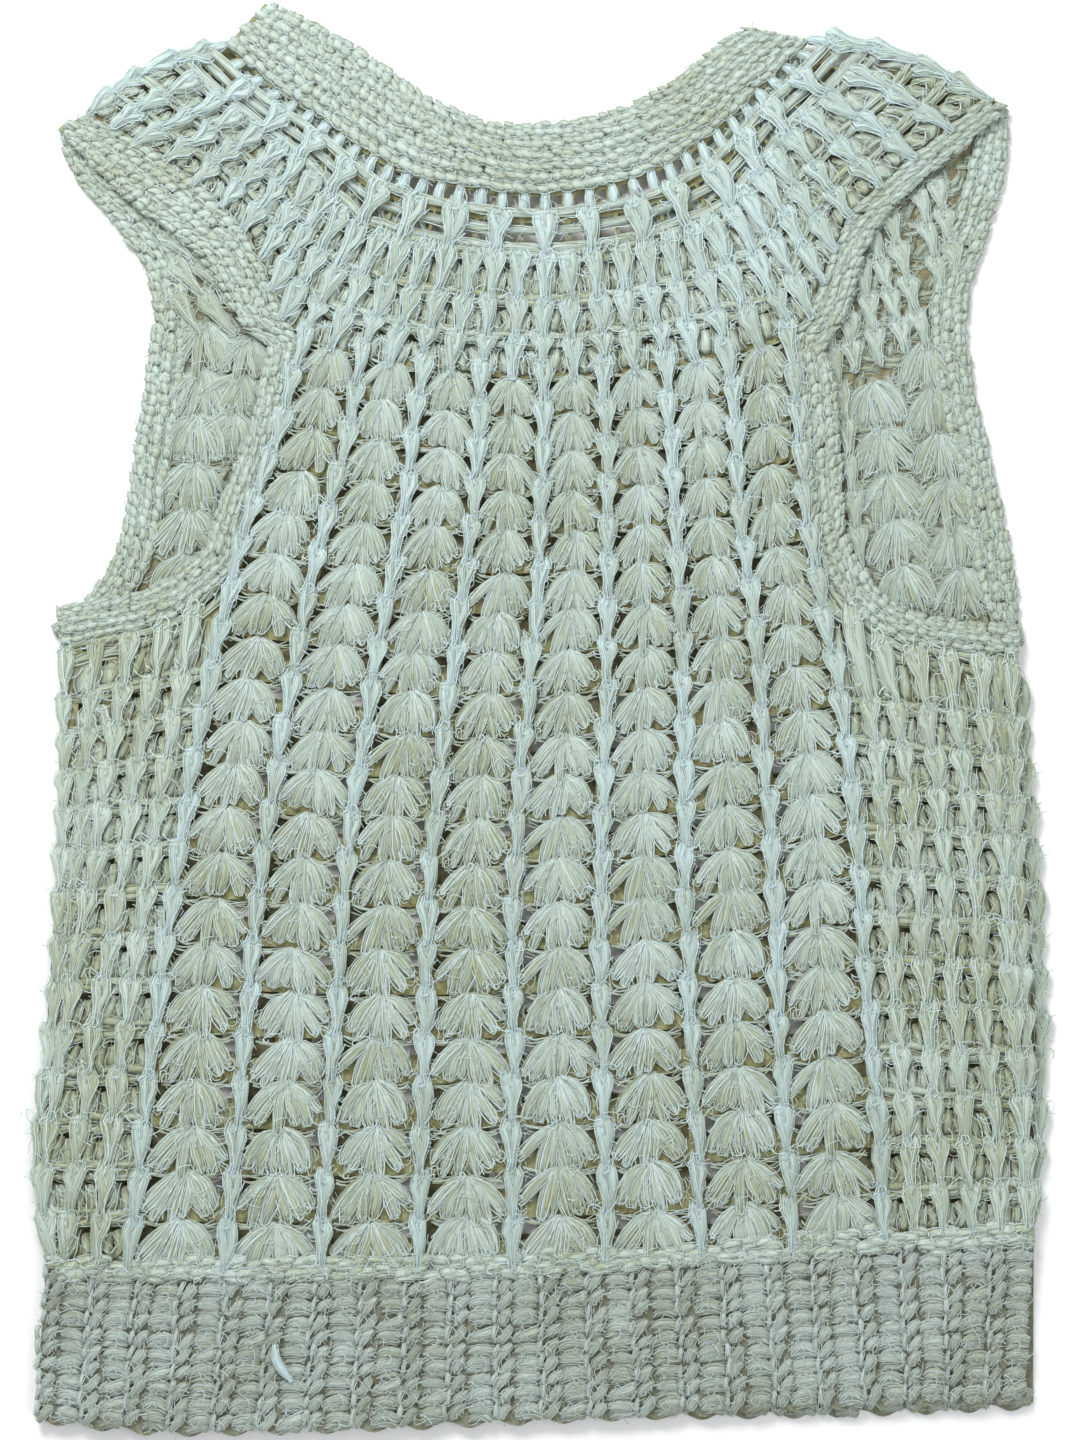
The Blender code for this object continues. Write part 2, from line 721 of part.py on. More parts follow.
def make_hems():
    columns = (
        numbered(-LEFT_SIDE_COLUMNS, 0, SIDE_ACROSS)[:-1]
        + numbered(0, MAIN_COLUMNS, ACROSS)
        + numbered(MAIN_COLUMNS, MAIN_COLUMNS + RIGHT_SIDE_COLUMNS, SIDE_ACROSS)[1:]
    )
    back_line = [back_point(column, BODY_ROWS) for column in columns]
    make_hem("hem_rib_back", back_line, HEM_EDGE, UPPER_BASE, True)
    main = [body_point(column, BODY_ROWS) for column in range(MAIN_COLUMNS + 1)]
    front_line = [under_left(BODY_ROWS)] + main + [under_right(BODY_ROWS)]
    make_hem("hem_rib_front", front_line, UNDER_HEM_EDGE, UNDER_BASE, False)


def centre_on_floor():
    """Moves every piece so that the box round them all is centred on the origin, on the floor."""
    pieces = [piece for piece in bpy.context.scene.objects if piece.type == "MESH"]
    corners = np.array([corner.co[:] for piece in pieces for corner in piece.data.vertices])
    low, high = corners.min(axis=0), corners.max(axis=0)
    shift = Vector((-(low[0] + high[0]) / 2, -(low[1] + high[1]) / 2, -low[2]))
    for piece in pieces:
        for corner in piece.data.vertices:
            corner.co += shift
    print("moved by", [round(value / MM, 3) for value in shift], "mm")


def main():
    for thing in list(bpy.data.objects):
        bpy.data.objects.remove(thing, do_unlink=True)
    make_front()
    make_back()
    make_neck_bands()
    make_armhole_bands()
    make_hems()
    centre_on_floor()


main()
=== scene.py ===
# %% [markdown]
# # A crochet vest, laid flat with its back uppermost
#
# The real vest is one fluffy cream yarn, hooked into stitches. Seen from above there is a back layer
# on top of a front layer. In each layer, columns of fan shaped shell stitches run between raised
# posts, a plain band edges the neck and the armholes, and a rib made sideways closes the hem.
#
# The lesson builds that cloth in the way that a crocheter would describe it. First come maps that say
# where a column and a row of stitches lie. Then a few short lengths of yarn are modelled, bent into
# each kind of stitch, and laid on the maps by the hundred as joined meshes.

# %% Load the fixed frame
import math
from collections import namedtuple

import bpy
import numpy as np
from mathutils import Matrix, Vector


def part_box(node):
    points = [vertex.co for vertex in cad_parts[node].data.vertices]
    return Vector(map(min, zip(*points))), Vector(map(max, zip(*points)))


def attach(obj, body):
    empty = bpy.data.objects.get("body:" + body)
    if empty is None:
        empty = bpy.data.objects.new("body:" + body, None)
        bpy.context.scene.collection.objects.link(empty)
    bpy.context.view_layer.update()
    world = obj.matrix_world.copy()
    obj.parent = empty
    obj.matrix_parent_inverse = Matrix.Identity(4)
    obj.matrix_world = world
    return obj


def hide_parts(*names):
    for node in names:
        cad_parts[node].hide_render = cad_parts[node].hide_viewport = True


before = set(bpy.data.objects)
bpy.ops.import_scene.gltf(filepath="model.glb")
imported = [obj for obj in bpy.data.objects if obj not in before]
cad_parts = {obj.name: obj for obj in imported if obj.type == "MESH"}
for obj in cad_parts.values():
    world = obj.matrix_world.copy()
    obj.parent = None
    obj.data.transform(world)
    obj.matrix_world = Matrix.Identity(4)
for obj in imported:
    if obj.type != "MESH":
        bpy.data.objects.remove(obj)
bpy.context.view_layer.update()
print("solids to dress:", len(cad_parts))

# %% [markdown]
# ## Where the layers lie
#
# The sizes are in millimetres, like a maker's notes, and the meshes are scaled to metres at the end.
# The two walls rest on each other, so each layer has a height for its thin backing cloth, on which
# the stitches stand. The shift moves the maps to the middle of the frame.

# %% Heights and the frame's own place
MM = 0.001
SHIFT = np.array([0.15, 0.144])
UPPER_BASE = 2.9
BACKING = 0.9
UPPER_CLOTH = UPPER_BASE + 1.7
UNDER_CLOTH = 1.2
generator = np.random.default_rng(7)

lowest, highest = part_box("back_panel")
print("back panel stands", round((highest.z - lowest.z) / MM, 1), "mm thick")

# %% [markdown]
# ## The stitch map of the back
#
# Every stitch has an address: a column across and a row down. Short tables hold where a few posts and
# rows lie, and a smooth curve gives all that lies between them. That is less work than drawing each
# stitch in its place, and the rows keep the gentle waves that a hand made cloth has.

# %% Tables of the main block and the side folds
MAIN_COLUMNS = 8
BODY_ROWS = 21
YOKE_FIRST, YOKE_LAST = -5, 12
LEFT_SIDE_COLUMNS, RIGHT_SIDE_COLUMNS = 4, 6
LEFT_SIDE_ROW, RIGHT_SIDE_ROW = 7, 8
UNDERARM_STEP = 0.5
ARMHOLE_ROW = 5.45
CLOSEST_SIDE_POSTS = 2.3
SHOULDER_BOW = 5.0


def rows_of(kind, *rows):
    """A table, each of whose rows is of one kind."""
    return tuple(kind(*row) for row in rows)


Row = namedtuple("Row", "row first_x first_y middle_x middle_y last_x last_y")
BODY = rows_of(
    Row,
    (0, -92.8, 148.6, 1.2, 134.6, 98.0, 149.8), (2, -100.2, 117.0, 0.8, 104.5, 101.0, 119.0),
    (4, -112.0, 84.2, 0.4, 74.1, 103.0, 88.1), (8, -128.3, 19.1, -4.3, 10.9, 114.7, 23.8),
    (12, -140.0, -49.1, -9.4, -54.6, 123.2, -42.5), (16, -150.2, -120.1, -10.1, -122.5, 127.9, -111.5),
    (19, -156.4, -175.1, -10.5, -175.1, 132.6, -165.0),
    (21, -161.1, -212.6, -10.5, -211.0, 134.6, -201.2),
)
Fold = namedtuple("Fold", "row x y pitch")
LEFT_FOLD = rows_of(
    Fold,
    (7, -187.0, 22.6, 11.7), (12, -188.4, -51.5, 11.0), (16, -192.7, -121.7, 11.7),
    (19, -197.3, -175.5, 12.3), (21, -192.7, -212.0, 12.5),
)
RIGHT_FOLD = rows_of(
    Fold,
    (8, 185.6, 15.6, 11.3), (12, 188.0, -47.6, 11.3), (16, 190.3, -113.9, 11.3),
    (19, 191.1, -165.8, 11.3), (21, 192.3, -199.7, 11.3),
)
UNDER_RIGHT_FOLD = rows_of(
    Fold,
    (8, 188.4, 15.6, 0), (12, 193.0, -47.6, 0), (16, 197.0, -113.9, 0), (19, 195.3, -165.8, 0),
    (21, 193.0, -200.6, 0),
)
Edge = namedtuple("Edge", "column x y")
LEFT_UNDERARM = rows_of(
    Edge,
    (-4, -186.4, 29.3), (-3, -159.9, 34.3), (-2, -147.0, 38.2), (-1, -134.6, 44.9),
)
RIGHT_UNDERARM = rows_of(
    Edge,
    (9, 120.1, 43.7), (10, 132.6, 33.5), (11, 146.3, 28.9), (12, 159.1, 27.3), (13, 171.6, 26.1),
    (14, 185.6, 25.0),
)
print("rows from yoke to hem:", BODY_ROWS)

# %% Table of the round yoke
Spoke = namedtuple("Spoke", "column edge_x edge_y seam_x seam_y end_x end_y")
YOKE = rows_of(
    Spoke,
    (-5, -107.3, 279.6, -122.1, 263.6, -176.3, 236.7), (-4, -93.6, 273.8, -108.4, 250.4, -156.0, 226.2),
    (-2, -67.1, 258.2, -82.7, 233.2, -115.1, 191.9), (0, -44.9, 243.0, -58.1, 216.5, -92.8, 148.6),
    (2, -23.4, 233.2, -30.4, 208.7, -45.7, 137.9), (4, 2.0, 231.3, 2.3, 205.5, 1.2, 134.6),
    (6, 28.1, 236.3, 35.9, 211.4, 48.3, 138.4), (8, 51.5, 248.0, 62.4, 225.4, 98.0, 149.8),
    (10, 69.4, 262.1, 84.6, 245.7, 120.9, 197.0), (12, 81.1, 270.3, 104.5, 265.2, 173.2, 243.0),
)
YOKE_ROWS = (-5, -4, -3, -2, -1, 0)
YOKE_DEPTHS = (0.0, 0.11, 0.32, 0.57, 0.78, 1.0)
print("posts round the yoke:", YOKE_LAST - YOKE_FIRST + 1)


# %% A smooth curve through a table
def curve(start, end, slope, next_slope, t):
    """The cubic that leaves one value and reaches the next with the given slopes."""
    blend = start * (2 * t**3 - 3 * t**2 + 1) + end * (3 * t**2 - 2 * t**3)
    return blend + slope * (t**3 - 2 * t**2 + t) + next_slope * (t**3 - t**2)


def smooth(table, column, at):
    """A named column of a table at places between its rows, on a smooth curve through them."""
    places = np.array([row[0] for row in table], float)
    values = np.array([getattr(row, column) for row in table], float)
    slopes = np.gradient(values, places)
    at = np.asarray(at, float)
    k = np.clip(np.searchsorted(places, at, side="right") - 1, 0, len(places) - 2)
    span = places[k + 1] - places[k]
    t = (at - places[k]) / span
    return curve(values[k], values[k + 1], slopes[k] * span, slopes[k + 1] * span, t)


def spot(table, at, x="x", y="y"):
    """Points on a table's curve."""
    return np.stack([smooth(table, x, at), smooth(table, y, at)], axis=-1)


def between(start, end, part):
    """From start to end by a part, for whole arrays of points."""
    part = np.asarray(part, float)[..., None]
    return start * (1 - part) + end * part


def unit(direction):
    return direction / np.linalg.norm(direction, axis=-1, keepdims=True)


def body_place(column, row):
    """On the main block, by the curve through its first, middle and last posts."""
    t = np.asarray(column, float)[..., None] / MAIN_COLUMNS
    first = spot(BODY, row, "first_x", "first_y")
    middle = spot(BODY, row, "middle_x", "middle_y")
    last = spot(BODY, row, "last_x", "last_y")
    return first * (1 - t) * (1 - 2 * t) + middle * 4 * t * (1 - t) + last * t * (2 * t - 1)


print("middle of the back:", np.round(body_place(4, 10), 1), "mm")


# %% The yoke and the sides
def yoke_place(column, row):
    """On the yoke, where the posts spread like spokes and bulge over the shoulder folds."""
    column, row = np.broadcast_arrays(np.asarray(column, float), np.asarray(row, float))
    depth = np.interp(row, YOKE_ROWS, YOKE_DEPTHS)
    seam = spot(YOKE, column, "seam_x", "seam_y")
    inside = (column >= 0) & (column <= MAIN_COLUMNS)
    end = np.where(inside[..., None], body_place(column, 0), spot(YOKE, column, "end_x", "end_y"))
    beyond = np.maximum(np.maximum(YOKE_FIRST + 1 - column, column - YOKE_LAST + 1), 0)
    along = unit(end - seam)
    turn = np.where(column > MAIN_COLUMNS, -1.0, 1.0)
    outward = np.stack([along[..., 1], -along[..., 0]], axis=-1) * turn[..., None]
    bulge = SHOULDER_BOW * beyond * np.sin(math.pi * depth)
    return between(seam, end, depth) + outward * bulge[..., None]


def whole_side_post(column, row):
    """On one whole side post, no nearer the fold than the posts beyond it allow."""
    left = column <= 0
    fold = LEFT_FOLD if left else RIGHT_FOLD
    count = LEFT_SIDE_COLUMNS if left else RIGHT_SIDE_COLUMNS
    steps = -column if left else column - MAIN_COLUMNS
    row = np.asarray(row, float)
    main = body_place(np.full(row.shape, 0 if left else MAIN_COLUMNS), row)
    edge = spot(fold, row)
    room = np.abs(edge[..., 0] - main[..., 0])
    reach = np.minimum(steps * smooth(fold, "pitch", row), room - (count - steps) * CLOSEST_SIDE_POSTS)
    return edge if steps == count else between(main, edge, reach / room)


def underarm_place(column):
    """On the panel's edge under an arm."""
    if column <= 0:
        table = LEFT_UNDERARM + (Edge(0, *body_place(0, ARMHOLE_ROW)),)
    else:
        table = (Edge(MAIN_COLUMNS, *body_place(MAIN_COLUMNS, ARMHOLE_ROW)),) + RIGHT_UNDERARM
    return spot(table, column)


def side_place(column, row):
    """On a side column, whole or in between, from the armhole's edge to the hem."""
    row = np.asarray(row, float)
    low = math.floor(column)
    high = low if column == low else low + 1
    first_row = LEFT_SIDE_ROW if column <= 0 else RIGHT_SIDE_ROW
    start = np.maximum(row, first_row)
    on_posts = between(whole_side_post(low, start), whole_side_post(high, start), column - low)
    above = np.clip((first_row - row) / UNDERARM_STEP, 0, 1)
    return between(on_posts, underarm_place(column), above)


print("left fold at the hem:", np.round(side_place(-4, 21), 1), "mm")

# %% [markdown]
# ## One length of yarn, to be bent into everything
#
# Each stitch is made of short lengths of yarn, so a few blanks are enough: a plump length with five
# sides, a short nub with four, and flat ribbons for the hairs. They are modelled as by hand. A small
# disc is added, pulled up ring by ring with the extrude tool, and swollen or narrowed with the scale
# tool. A ribbon is a grid stood on its end. They have only a few dozen faces, because thousands of
# copies follow. A yarn could also be a curve with a round bevel, but curves can't be joined and bent by
# the thousand as quickly as arrays of points.


# %% Model the blanks with extrude and scale
def start_clean():
    """Leaves nothing selected, so that the next operator acts on the new piece alone."""
    if bpy.context.object and bpy.context.object.mode != "OBJECT":
        bpy.ops.object.mode_set(mode="OBJECT")
    bpy.ops.object.select_all(action="DESELECT")


def make_blank(name, sides, swells):
    """A closed bar one unit long and about one unit in radius, with a ring for each swell."""
    start_clean()
    bpy.ops.mesh.primitive_circle_add(vertices=sides, radius=swells[0], fill_type="NGON")
    bar = bpy.context.object
    bar.name = name
    bpy.ops.object.mode_set(mode="EDIT")
    bpy.ops.mesh.select_all(action="SELECT")
    step = 1 / (len(swells) - 1)
    for before, after in zip(swells, swells[1:]):
        bpy.ops.mesh.extrude_region_move(TRANSFORM_OT_translate={"value": (0, 0, step)})
        bpy.ops.transform.resize(value=(after / before, after / before, 1))
    bpy.ops.mesh.select_all(action="SELECT")
    bpy.ops.mesh.normals_make_consistent(inside=False)
    bpy.ops.object.mode_set(mode="OBJECT")
    return bar


def make_ribbon(name, steps):
    """A flat hair one unit long and two units wide, whose face looks up once it is bent."""
    start_clean()
    bpy.ops.mesh.primitive_grid_add(x_subdivisions=1, y_subdivisions=steps, size=2)
    ribbon = bpy.context.object
    ribbon.name = name
    bpy.ops.object.mode_set(mode="EDIT")
    bpy.ops.mesh.select_all(action="SELECT")
    bpy.ops.transform.resize(value=(1, 0.5, 1))
    bpy.ops.transform.rotate(value=math.pi / 2, orient_axis="X")
    bpy.ops.transform.translate(value=(0, 0, 0.5))
    bpy.ops.object.mode_set(mode="OBJECT")
    if ribbon.data.polygons[0].normal.y < 0:
        ribbon.data.flip_normals()
    return ribbon


Blank = namedtuple("Blank", "points corners starts")


def read_blank(bar):
    """The blank's points and faces as arrays, after which its object isn't needed."""
    mesh = bar.data
    points = np.array([vertex.co[:] for vertex in mesh.vertices])
    corners = np.array([corner.vertex_index for corner in mesh.loops])
    starts = np.array([face.loop_start for face in mesh.polygons])
    bpy.data.objects.remove(bar)
    bpy.data.meshes.remove(mesh)
    return Blank(points, corners, starts)


PLUMP = read_blank(make_blank("plump", 5, (0.5, 0.95, 1.0, 1.0, 0.95, 0.5)))
NUB = read_blank(make_blank("nub", 4, (0.6, 1.0, 1.0, 0.6)))
FIBRE = read_blank(make_ribbon("fibre", 6))
LOOP = read_blank(make_ribbon("loop", 12))
WISP = read_blank(make_ribbon("wisp", 3))
for blank in (PLUMP, NUB, FIBRE, LOOP, WISP):
    reach = blank.points.min(axis=0).round(2), blank.points.max(axis=0).round(2)
    print(len(blank.starts), "faces, low to high", *reach)

# %% [markdown]
# ## Bending yarn and laying stitches
#
# A path is a few points, and the bend moves each ring of a blank onto it. A stitch is then a small
# group of bent yarns in a cell as wide and tall as the real stitch. To lay a stitch, its cell is
# stretched between four corners on the map, all copies at once. The result is one joined mesh with
# two attributes: where each point lies round and along its yarn, and how pale and how deep it is.

# %% Bend one blank along a path
Yarn = namedtuple("Yarn", "blank points look")


def eased(path, at):
    """Points on a smooth curve through a few path points, at even parts of its length."""
    path = np.asarray(path, float)
    places = np.linspace(0, 1, len(path))
    slopes = np.gradient(path, places, axis=0)
    k = np.clip(np.searchsorted(places, at, side="right") - 1, 0, len(path) - 2)
    span = places[1]
    t = ((at - places[k]) / span)[:, None]
    return curve(path[k], path[k + 1], slopes[k] * span, slopes[k + 1] * span, t)


def bend(blank, path, wide, high, pale=0.5):
    """A yarn along a path of (across, down, up) points, wide and high as half sizes in millimetres."""
    along = blank.points[:, 2]
    middle = eased(path, along)
    ahead = eased(path, np.clip(along + 0.02, 0, 1))
    behind = eased(path, np.clip(along - 0.02, 0, 1))
    forward = unit(ahead - behind)
    side = unit(np.cross(forward, (0.0, 0.0, 1.0)) + (1e-6, 0, 0))
    up = np.cross(side, forward)
    wide = np.interp(along, np.linspace(0, 1, len(np.atleast_1d(wide))), np.atleast_1d(wide))
    points = middle + side * (blank.points[:, :1] * wide[:, None]) + up * blank.points[:, 1:2] * high
    return Yarn(blank, points, np.full(len(points), float(pale)))


print("a bent hair has", len(bend(FIBRE, ((0, 0, 0), (1, 9, 1), (0, 16, 0)), 1, 1).points), "points")


# %% Gather laid stitches into one piece
class Heap:
    """Laid yarns, gathered as arrays until they are made into one joined mesh."""

    def __init__(self):
        self.points, self.corners, self.starts, self.fibres, self.looks = [], [], [], [], []
        self.point_count = 0
        self.corner_count = 0

    def add(self, yarn, places, pale, depth):
        """One yarn at n places, as n x points x 3, with how pale and how deep each point is."""
        copies, size, _ = places.shape
        blank = yarn.blank
        first_point = self.point_count + np.arange(copies)[:, None] * size
        first_corner = self.corner_count + np.arange(copies)[:, None] * len(blank.corners)
        self.points.append(places.reshape(-1, 3))
        self.corners.append((blank.corners[None, :] + first_point).ravel())
        self.starts.append((blank.starts[None, :] + first_corner).ravel())
        chance = generator.random((copies, 1))
        round_and_along = np.broadcast_to(blank.points, (copies, size, 3)).copy()
        round_and_along[..., 2] = round_and_along[..., 2] * 1.5 + chance * 40
        self.fibres.append(round_and_along.reshape(-1, 3))
        looks = np.stack(np.broadcast_arrays(pale, depth, chance), axis=-1)
        self.looks.append(looks.reshape(-1, 3))
        self.point_count += copies * size
        self.corner_count += copies * len(blank.corners)

    def piece(self, name, material):
        """The heap as one object, in metres, in the frame's place."""
        mesh = bpy.data.meshes.new(name)
        points = np.concatenate(self.points)
        points[:, :2] += SHIFT
        corners = np.concatenate(self.corners)
        starts = np.concatenate(self.starts)
        mesh.vertices.add(len(points))
        mesh.loops.add(len(corners))
        mesh.polygons.add(len(starts))
        mesh.vertices.foreach_set("co", (points * MM).astype(np.float32).ravel())
        mesh.loops.foreach_set("vertex_index", corners.astype(np.int32))
        mesh.polygons.foreach_set("loop_start", starts.astype(np.int32))
        mesh.update(calc_edges=True)
        for label, values in (("fibre", self.fibres), ("look", self.looks)):
            layer = mesh.attributes.new(label, "FLOAT_VECTOR", "POINT")
            layer.data.foreach_set("vector", np.concatenate(values).astype(np.float32).ravel())
        mesh.shade_smooth()
        mesh.materials.append(material)
        thing = bpy.data.objects.new(name, mesh)
        bpy.context.scene.collection.objects.link(thing)
        print(name, "has", len(corners) - 2 * len(starts), "triangles")
        return thing


Cells = namedtuple("Cells", "top_left top_right bottom_left bottom_right height")


def take(cells, chosen):
    return Cells(*(part[chosen] for part in cells))


def lay(heap, stitch, size, cells, pale_shift=0.0, grow=1.0):
    """Every yarn of a stitch, stretched from its own cell of size (across, down) to all the cells."""
    if not len(cells.height):
        return
    heights = cells.height[:, None]
    for yarn in stitch:
        u = yarn.points[None, :, 0, None] / size[0]
        v = yarn.points[None, :, 1, None] / size[1]
        top = cells.top_left[:, None] * (1 - u) + cells.top_right[:, None] * u
        bottom = cells.bottom_left[:, None] * (1 - u) + cells.bottom_right[:, None] * u
        flat = top * (1 - v) + bottom * v
        rise = yarn.points[None, :, 2] * grow
        places = np.concatenate([flat, (heights + rise)[..., None]], axis=-1)
        # The depth drives the painted shade of the hollows.
        depth = np.broadcast_to(rise, places.shape[:2])
        heap.add(yarn, places, yarn.look[None, :] + pale_shift, depth)


def scatter(heap, variants, size, cells, pale_shift=0.0, grow=1.0):
    """Lays several versions of a stitch, each on its own random share of the cells."""
    share = generator.integers(0, len(variants), len(cells.height))
    for number, stitch in enumerate(variants):
        lay(heap, stitch, size, take(cells, share == number), pale_shift, grow)


print("cells hold", Cells._fields)

# %% [markdown]
# ## The yarn's finish
#
# The real yarn is a soft single: whitish hairs lie along a creamy core, and it turns olive where the
# light doesn't reach. Two node groups make that, and every yarn material uses both. The first turns
# the place round and along a yarn into fine streaks, which also drive the bump. The second mixes the
# colour of the core and the hairs, and paints that olive shade into the hollows by how low each point
# lies. An image would do too, but it would blur up close.


# %% Small helpers for node trees
def add_node(tree, kind, **settings):
    node = tree.nodes.new(kind)
    for name, value in settings.items():
        setattr(node, name, value)
    return node


def join(tree, source, target):
    tree.links.new(source, target)


def new_group(name, inputs, outputs):
    """An empty shader node group with named float, vector or colour sockets."""
    tree = bpy.data.node_groups.new(name, "ShaderNodeTree")
    for side, sockets in (("INPUT", inputs), ("OUTPUT", outputs)):
        for label, kind in sockets:
            tree.interface.new_socket(name=label, in_out=side, socket_type="NodeSocket" + kind)
    entry = add_node(tree, "NodeGroupInput")
    leave = add_node(tree, "NodeGroupOutput")
    return tree, entry, leave


def ranged(tree, source, low, high, to_low, to_high):
    """A value moved from one range to another, held at both ends."""
    node = add_node(tree, "ShaderNodeMapRange")
    for label, value in zip(("From Min", "From Max", "To Min", "To Max"), (low, high, to_low, to_high)):
        node.inputs[label].default_value = value
    join(tree, source, node.inputs["Value"])
    return node.outputs["Result"]


def mixed(tree, factor, first, second, blend="MIX"):
    """Two colours mixed, each a socket or a fixed colour."""
    node = add_node(tree, "ShaderNodeMix", data_type="RGBA", blend_type=blend)
    for label, value in ((0, factor), (6, first), (7, second)):
        if isinstance(value, bpy.types.NodeSocket):
            join(tree, value, node.inputs[label])
        else:
            node.inputs[label].default_value = value
    return node.outputs[2]


print("node helpers are ready")


# %% The group of soft streaks along a yarn
def make_streaks():
    """Soft streaks along a yarn, from the place round and along it."""
    tree, entry, leave = new_group(
        "spun_fibres", (("Fibre", "Vector"),), (("Streaks", "Float"), ("Height", "Float"))
    )
    stretch = add_node(tree, "ShaderNodeVectorMath", operation="MULTIPLY")
    stretch.inputs[1].default_value = (1.0, 1.0, 0.35)
    join(tree, entry.outputs["Fibre"], stretch.inputs[0])
    noise = add_node(tree, "ShaderNodeTexNoise")
    noise.inputs["Scale"].default_value = 4.0
    noise.inputs["Detail"].default_value = 2.0
    join(tree, stretch.outputs[0], noise.inputs["Vector"])
    join(tree, ranged(tree, noise.outputs["Fac"], 0.36, 0.64, 0, 1), leave.inputs["Streaks"])
    join(tree, noise.outputs["Fac"], leave.inputs["Height"])
    return tree


SPUN_FIBRES = make_streaks()
print("group:", SPUN_FIBRES.name)


# %% The group that shades a yarn
def make_shading():
    """Painted shade: the lower a point lies, the more shadow colour it gets, so hollows are shadow coloured
    and crowns pale. The core is creamy and the hairs are pale.
    """
    tree, entry, leave = new_group(
        "yarn_shade",
        (
            ("Streaks", "Float"),
            ("Pale", "Float"),
            ("Depth", "Float"),
            ("Chance", "Float"),
            ("Shadow", "Color"),
            ("Core", "Color"),
            ("Hair", "Color"),
        ),
        (("Color", "Color"), ("Roughness", "Float")),
    )
    places = add_node(tree, "ShaderNodeTexCoord")
    cast = add_node(tree, "ShaderNodeTexNoise")
    cast.inputs["Scale"].default_value = 26.0
    cast.inputs["Detail"].default_value = 2.0
    join(tree, places.outputs["Object"], cast.inputs["Vector"])
    cooler = mixed(tree, 0.5, entry.outputs["Core"], entry.outputs["Hair"])
    core = mixed(tree, ranged(tree, cast.outputs["Fac"], 0.4, 0.64, 0, 0.75), entry.outputs["Core"], cooler)
    amount = add_node(tree, "ShaderNodeMath", operation="MULTIPLY_ADD")
    join(tree, entry.outputs["Streaks"], amount.inputs[0])
    amount.inputs[1].default_value = 0.45
    join(tree, ranged(tree, entry.outputs["Pale"], 0, 1, -0.15, 0.8), amount.inputs[2])
    held = ranged(tree, amount.outputs[0], 0, 1, 0, 1)
    hairy = mixed(tree, held, core, entry.outputs["Hair"])
    # Painted shade: points low in a stitch take the shadow colour, by their depth.
    painted_shade_mix = ranged(tree, entry.outputs["Depth"], -0.6, 1.6, 0.0, 1.0)
    shaded = mixed(tree, painted_shade_mix, entry.outputs["Shadow"], hairy)
    varied = mixed(tree, ranged(tree, entry.outputs["Chance"], 0, 1, 0, 0.16), shaded, entry.outputs["Core"])
    join(tree, varied, leave.inputs["Color"])
    join(tree, ranged(tree, entry.outputs["Streaks"], 0, 1, 0.92, 0.7), leave.inputs["Roughness"])
    return tree


YARN_SHADE = make_shading()
print("group:", YARN_SHADE.name)


# %% One material for each slot of the record
def yarn_material(name, shadow, core, hair, bump=0.3):
    """A yarn whose own attributes say what lies round it, along it, high and low."""
    material = bpy.data.materials.new(name)
    material.use_nodes = True
    tree = material.node_tree
    shader = tree.nodes["Principled BSDF"]
    shader.inputs["Sheen Weight"].default_value = 0.22
    shader.inputs["Sheen Roughness"].default_value = 0.45
    shader.inputs["Specular IOR Level"].default_value = 0.3
    fibre = add_node(tree, "ShaderNodeAttribute", attribute_name="fibre")
    look = add_node(tree, "ShaderNodeAttribute", attribute_name="look")
    parts = add_node(tree, "ShaderNodeSeparateXYZ")
    join(tree, look.outputs["Vector"], parts.inputs[0])
    streaks = add_node(tree, "ShaderNodeGroup", node_tree=SPUN_FIBRES)
    join(tree, fibre.outputs["Vector"], streaks.inputs["Fibre"])
    shade = add_node(tree, "ShaderNodeGroup", node_tree=YARN_SHADE)
    join(tree, streaks.outputs["Streaks"], shade.inputs["Streaks"])
    for label, part in zip(("Pale", "Depth", "Chance"), parts.outputs):
        join(tree, part, shade.inputs[label])
    for label, colour in (("Shadow", shadow), ("Core", core), ("Hair", hair)):
        shade.inputs[label].default_value = (*colour, 1)
    join(tree, shade.outputs["Color"], shader.inputs["Base Color"])
    join(tree, shade.outputs["Roughness"], shader.inputs["Roughness"])
    raised = add_node(tree, "ShaderNodeBump")
    raised.inputs["Strength"].default_value = 0.75
    raised.inputs["Distance"].default_value = bump * MM
    join(tree, streaks.outputs["Height"], raised.inputs["Height"])
    join(tree, raised.outputs["Normal"], shader.inputs["Normal"])
    return material


# Each yarn's first colour is the painted shadow colour of its hollows; the others are its core and hairs.
SHELL_YARN = yarn_material("shell_yarn", (0.12, 0.105, 0.035), (0.285, 0.305, 0.155), (0.64, 0.775, 0.77))
POST_YARN = yarn_material("post_yarn", (0.13, 0.125, 0.06), (0.315, 0.36, 0.25), (0.61, 0.77, 0.81))
BAND_YARN = yarn_material("band_yarn", (0.17, 0.165, 0.08), (0.325, 0.35, 0.225), (0.56, 0.70, 0.69))
RIB_YARN = yarn_material("rib_yarn", (0.12, 0.11, 0.065), (0.27, 0.285, 0.19), (0.58, 0.69, 0.68))
UNDER_YARN = yarn_material("under_yarn", (0.11, 0.10, 0.05), (0.28, 0.305, 0.18), (0.58, 0.71, 0.685))
print("yarn materials:", [m.name for m in bpy.data.materials if "yarn" in m.name])


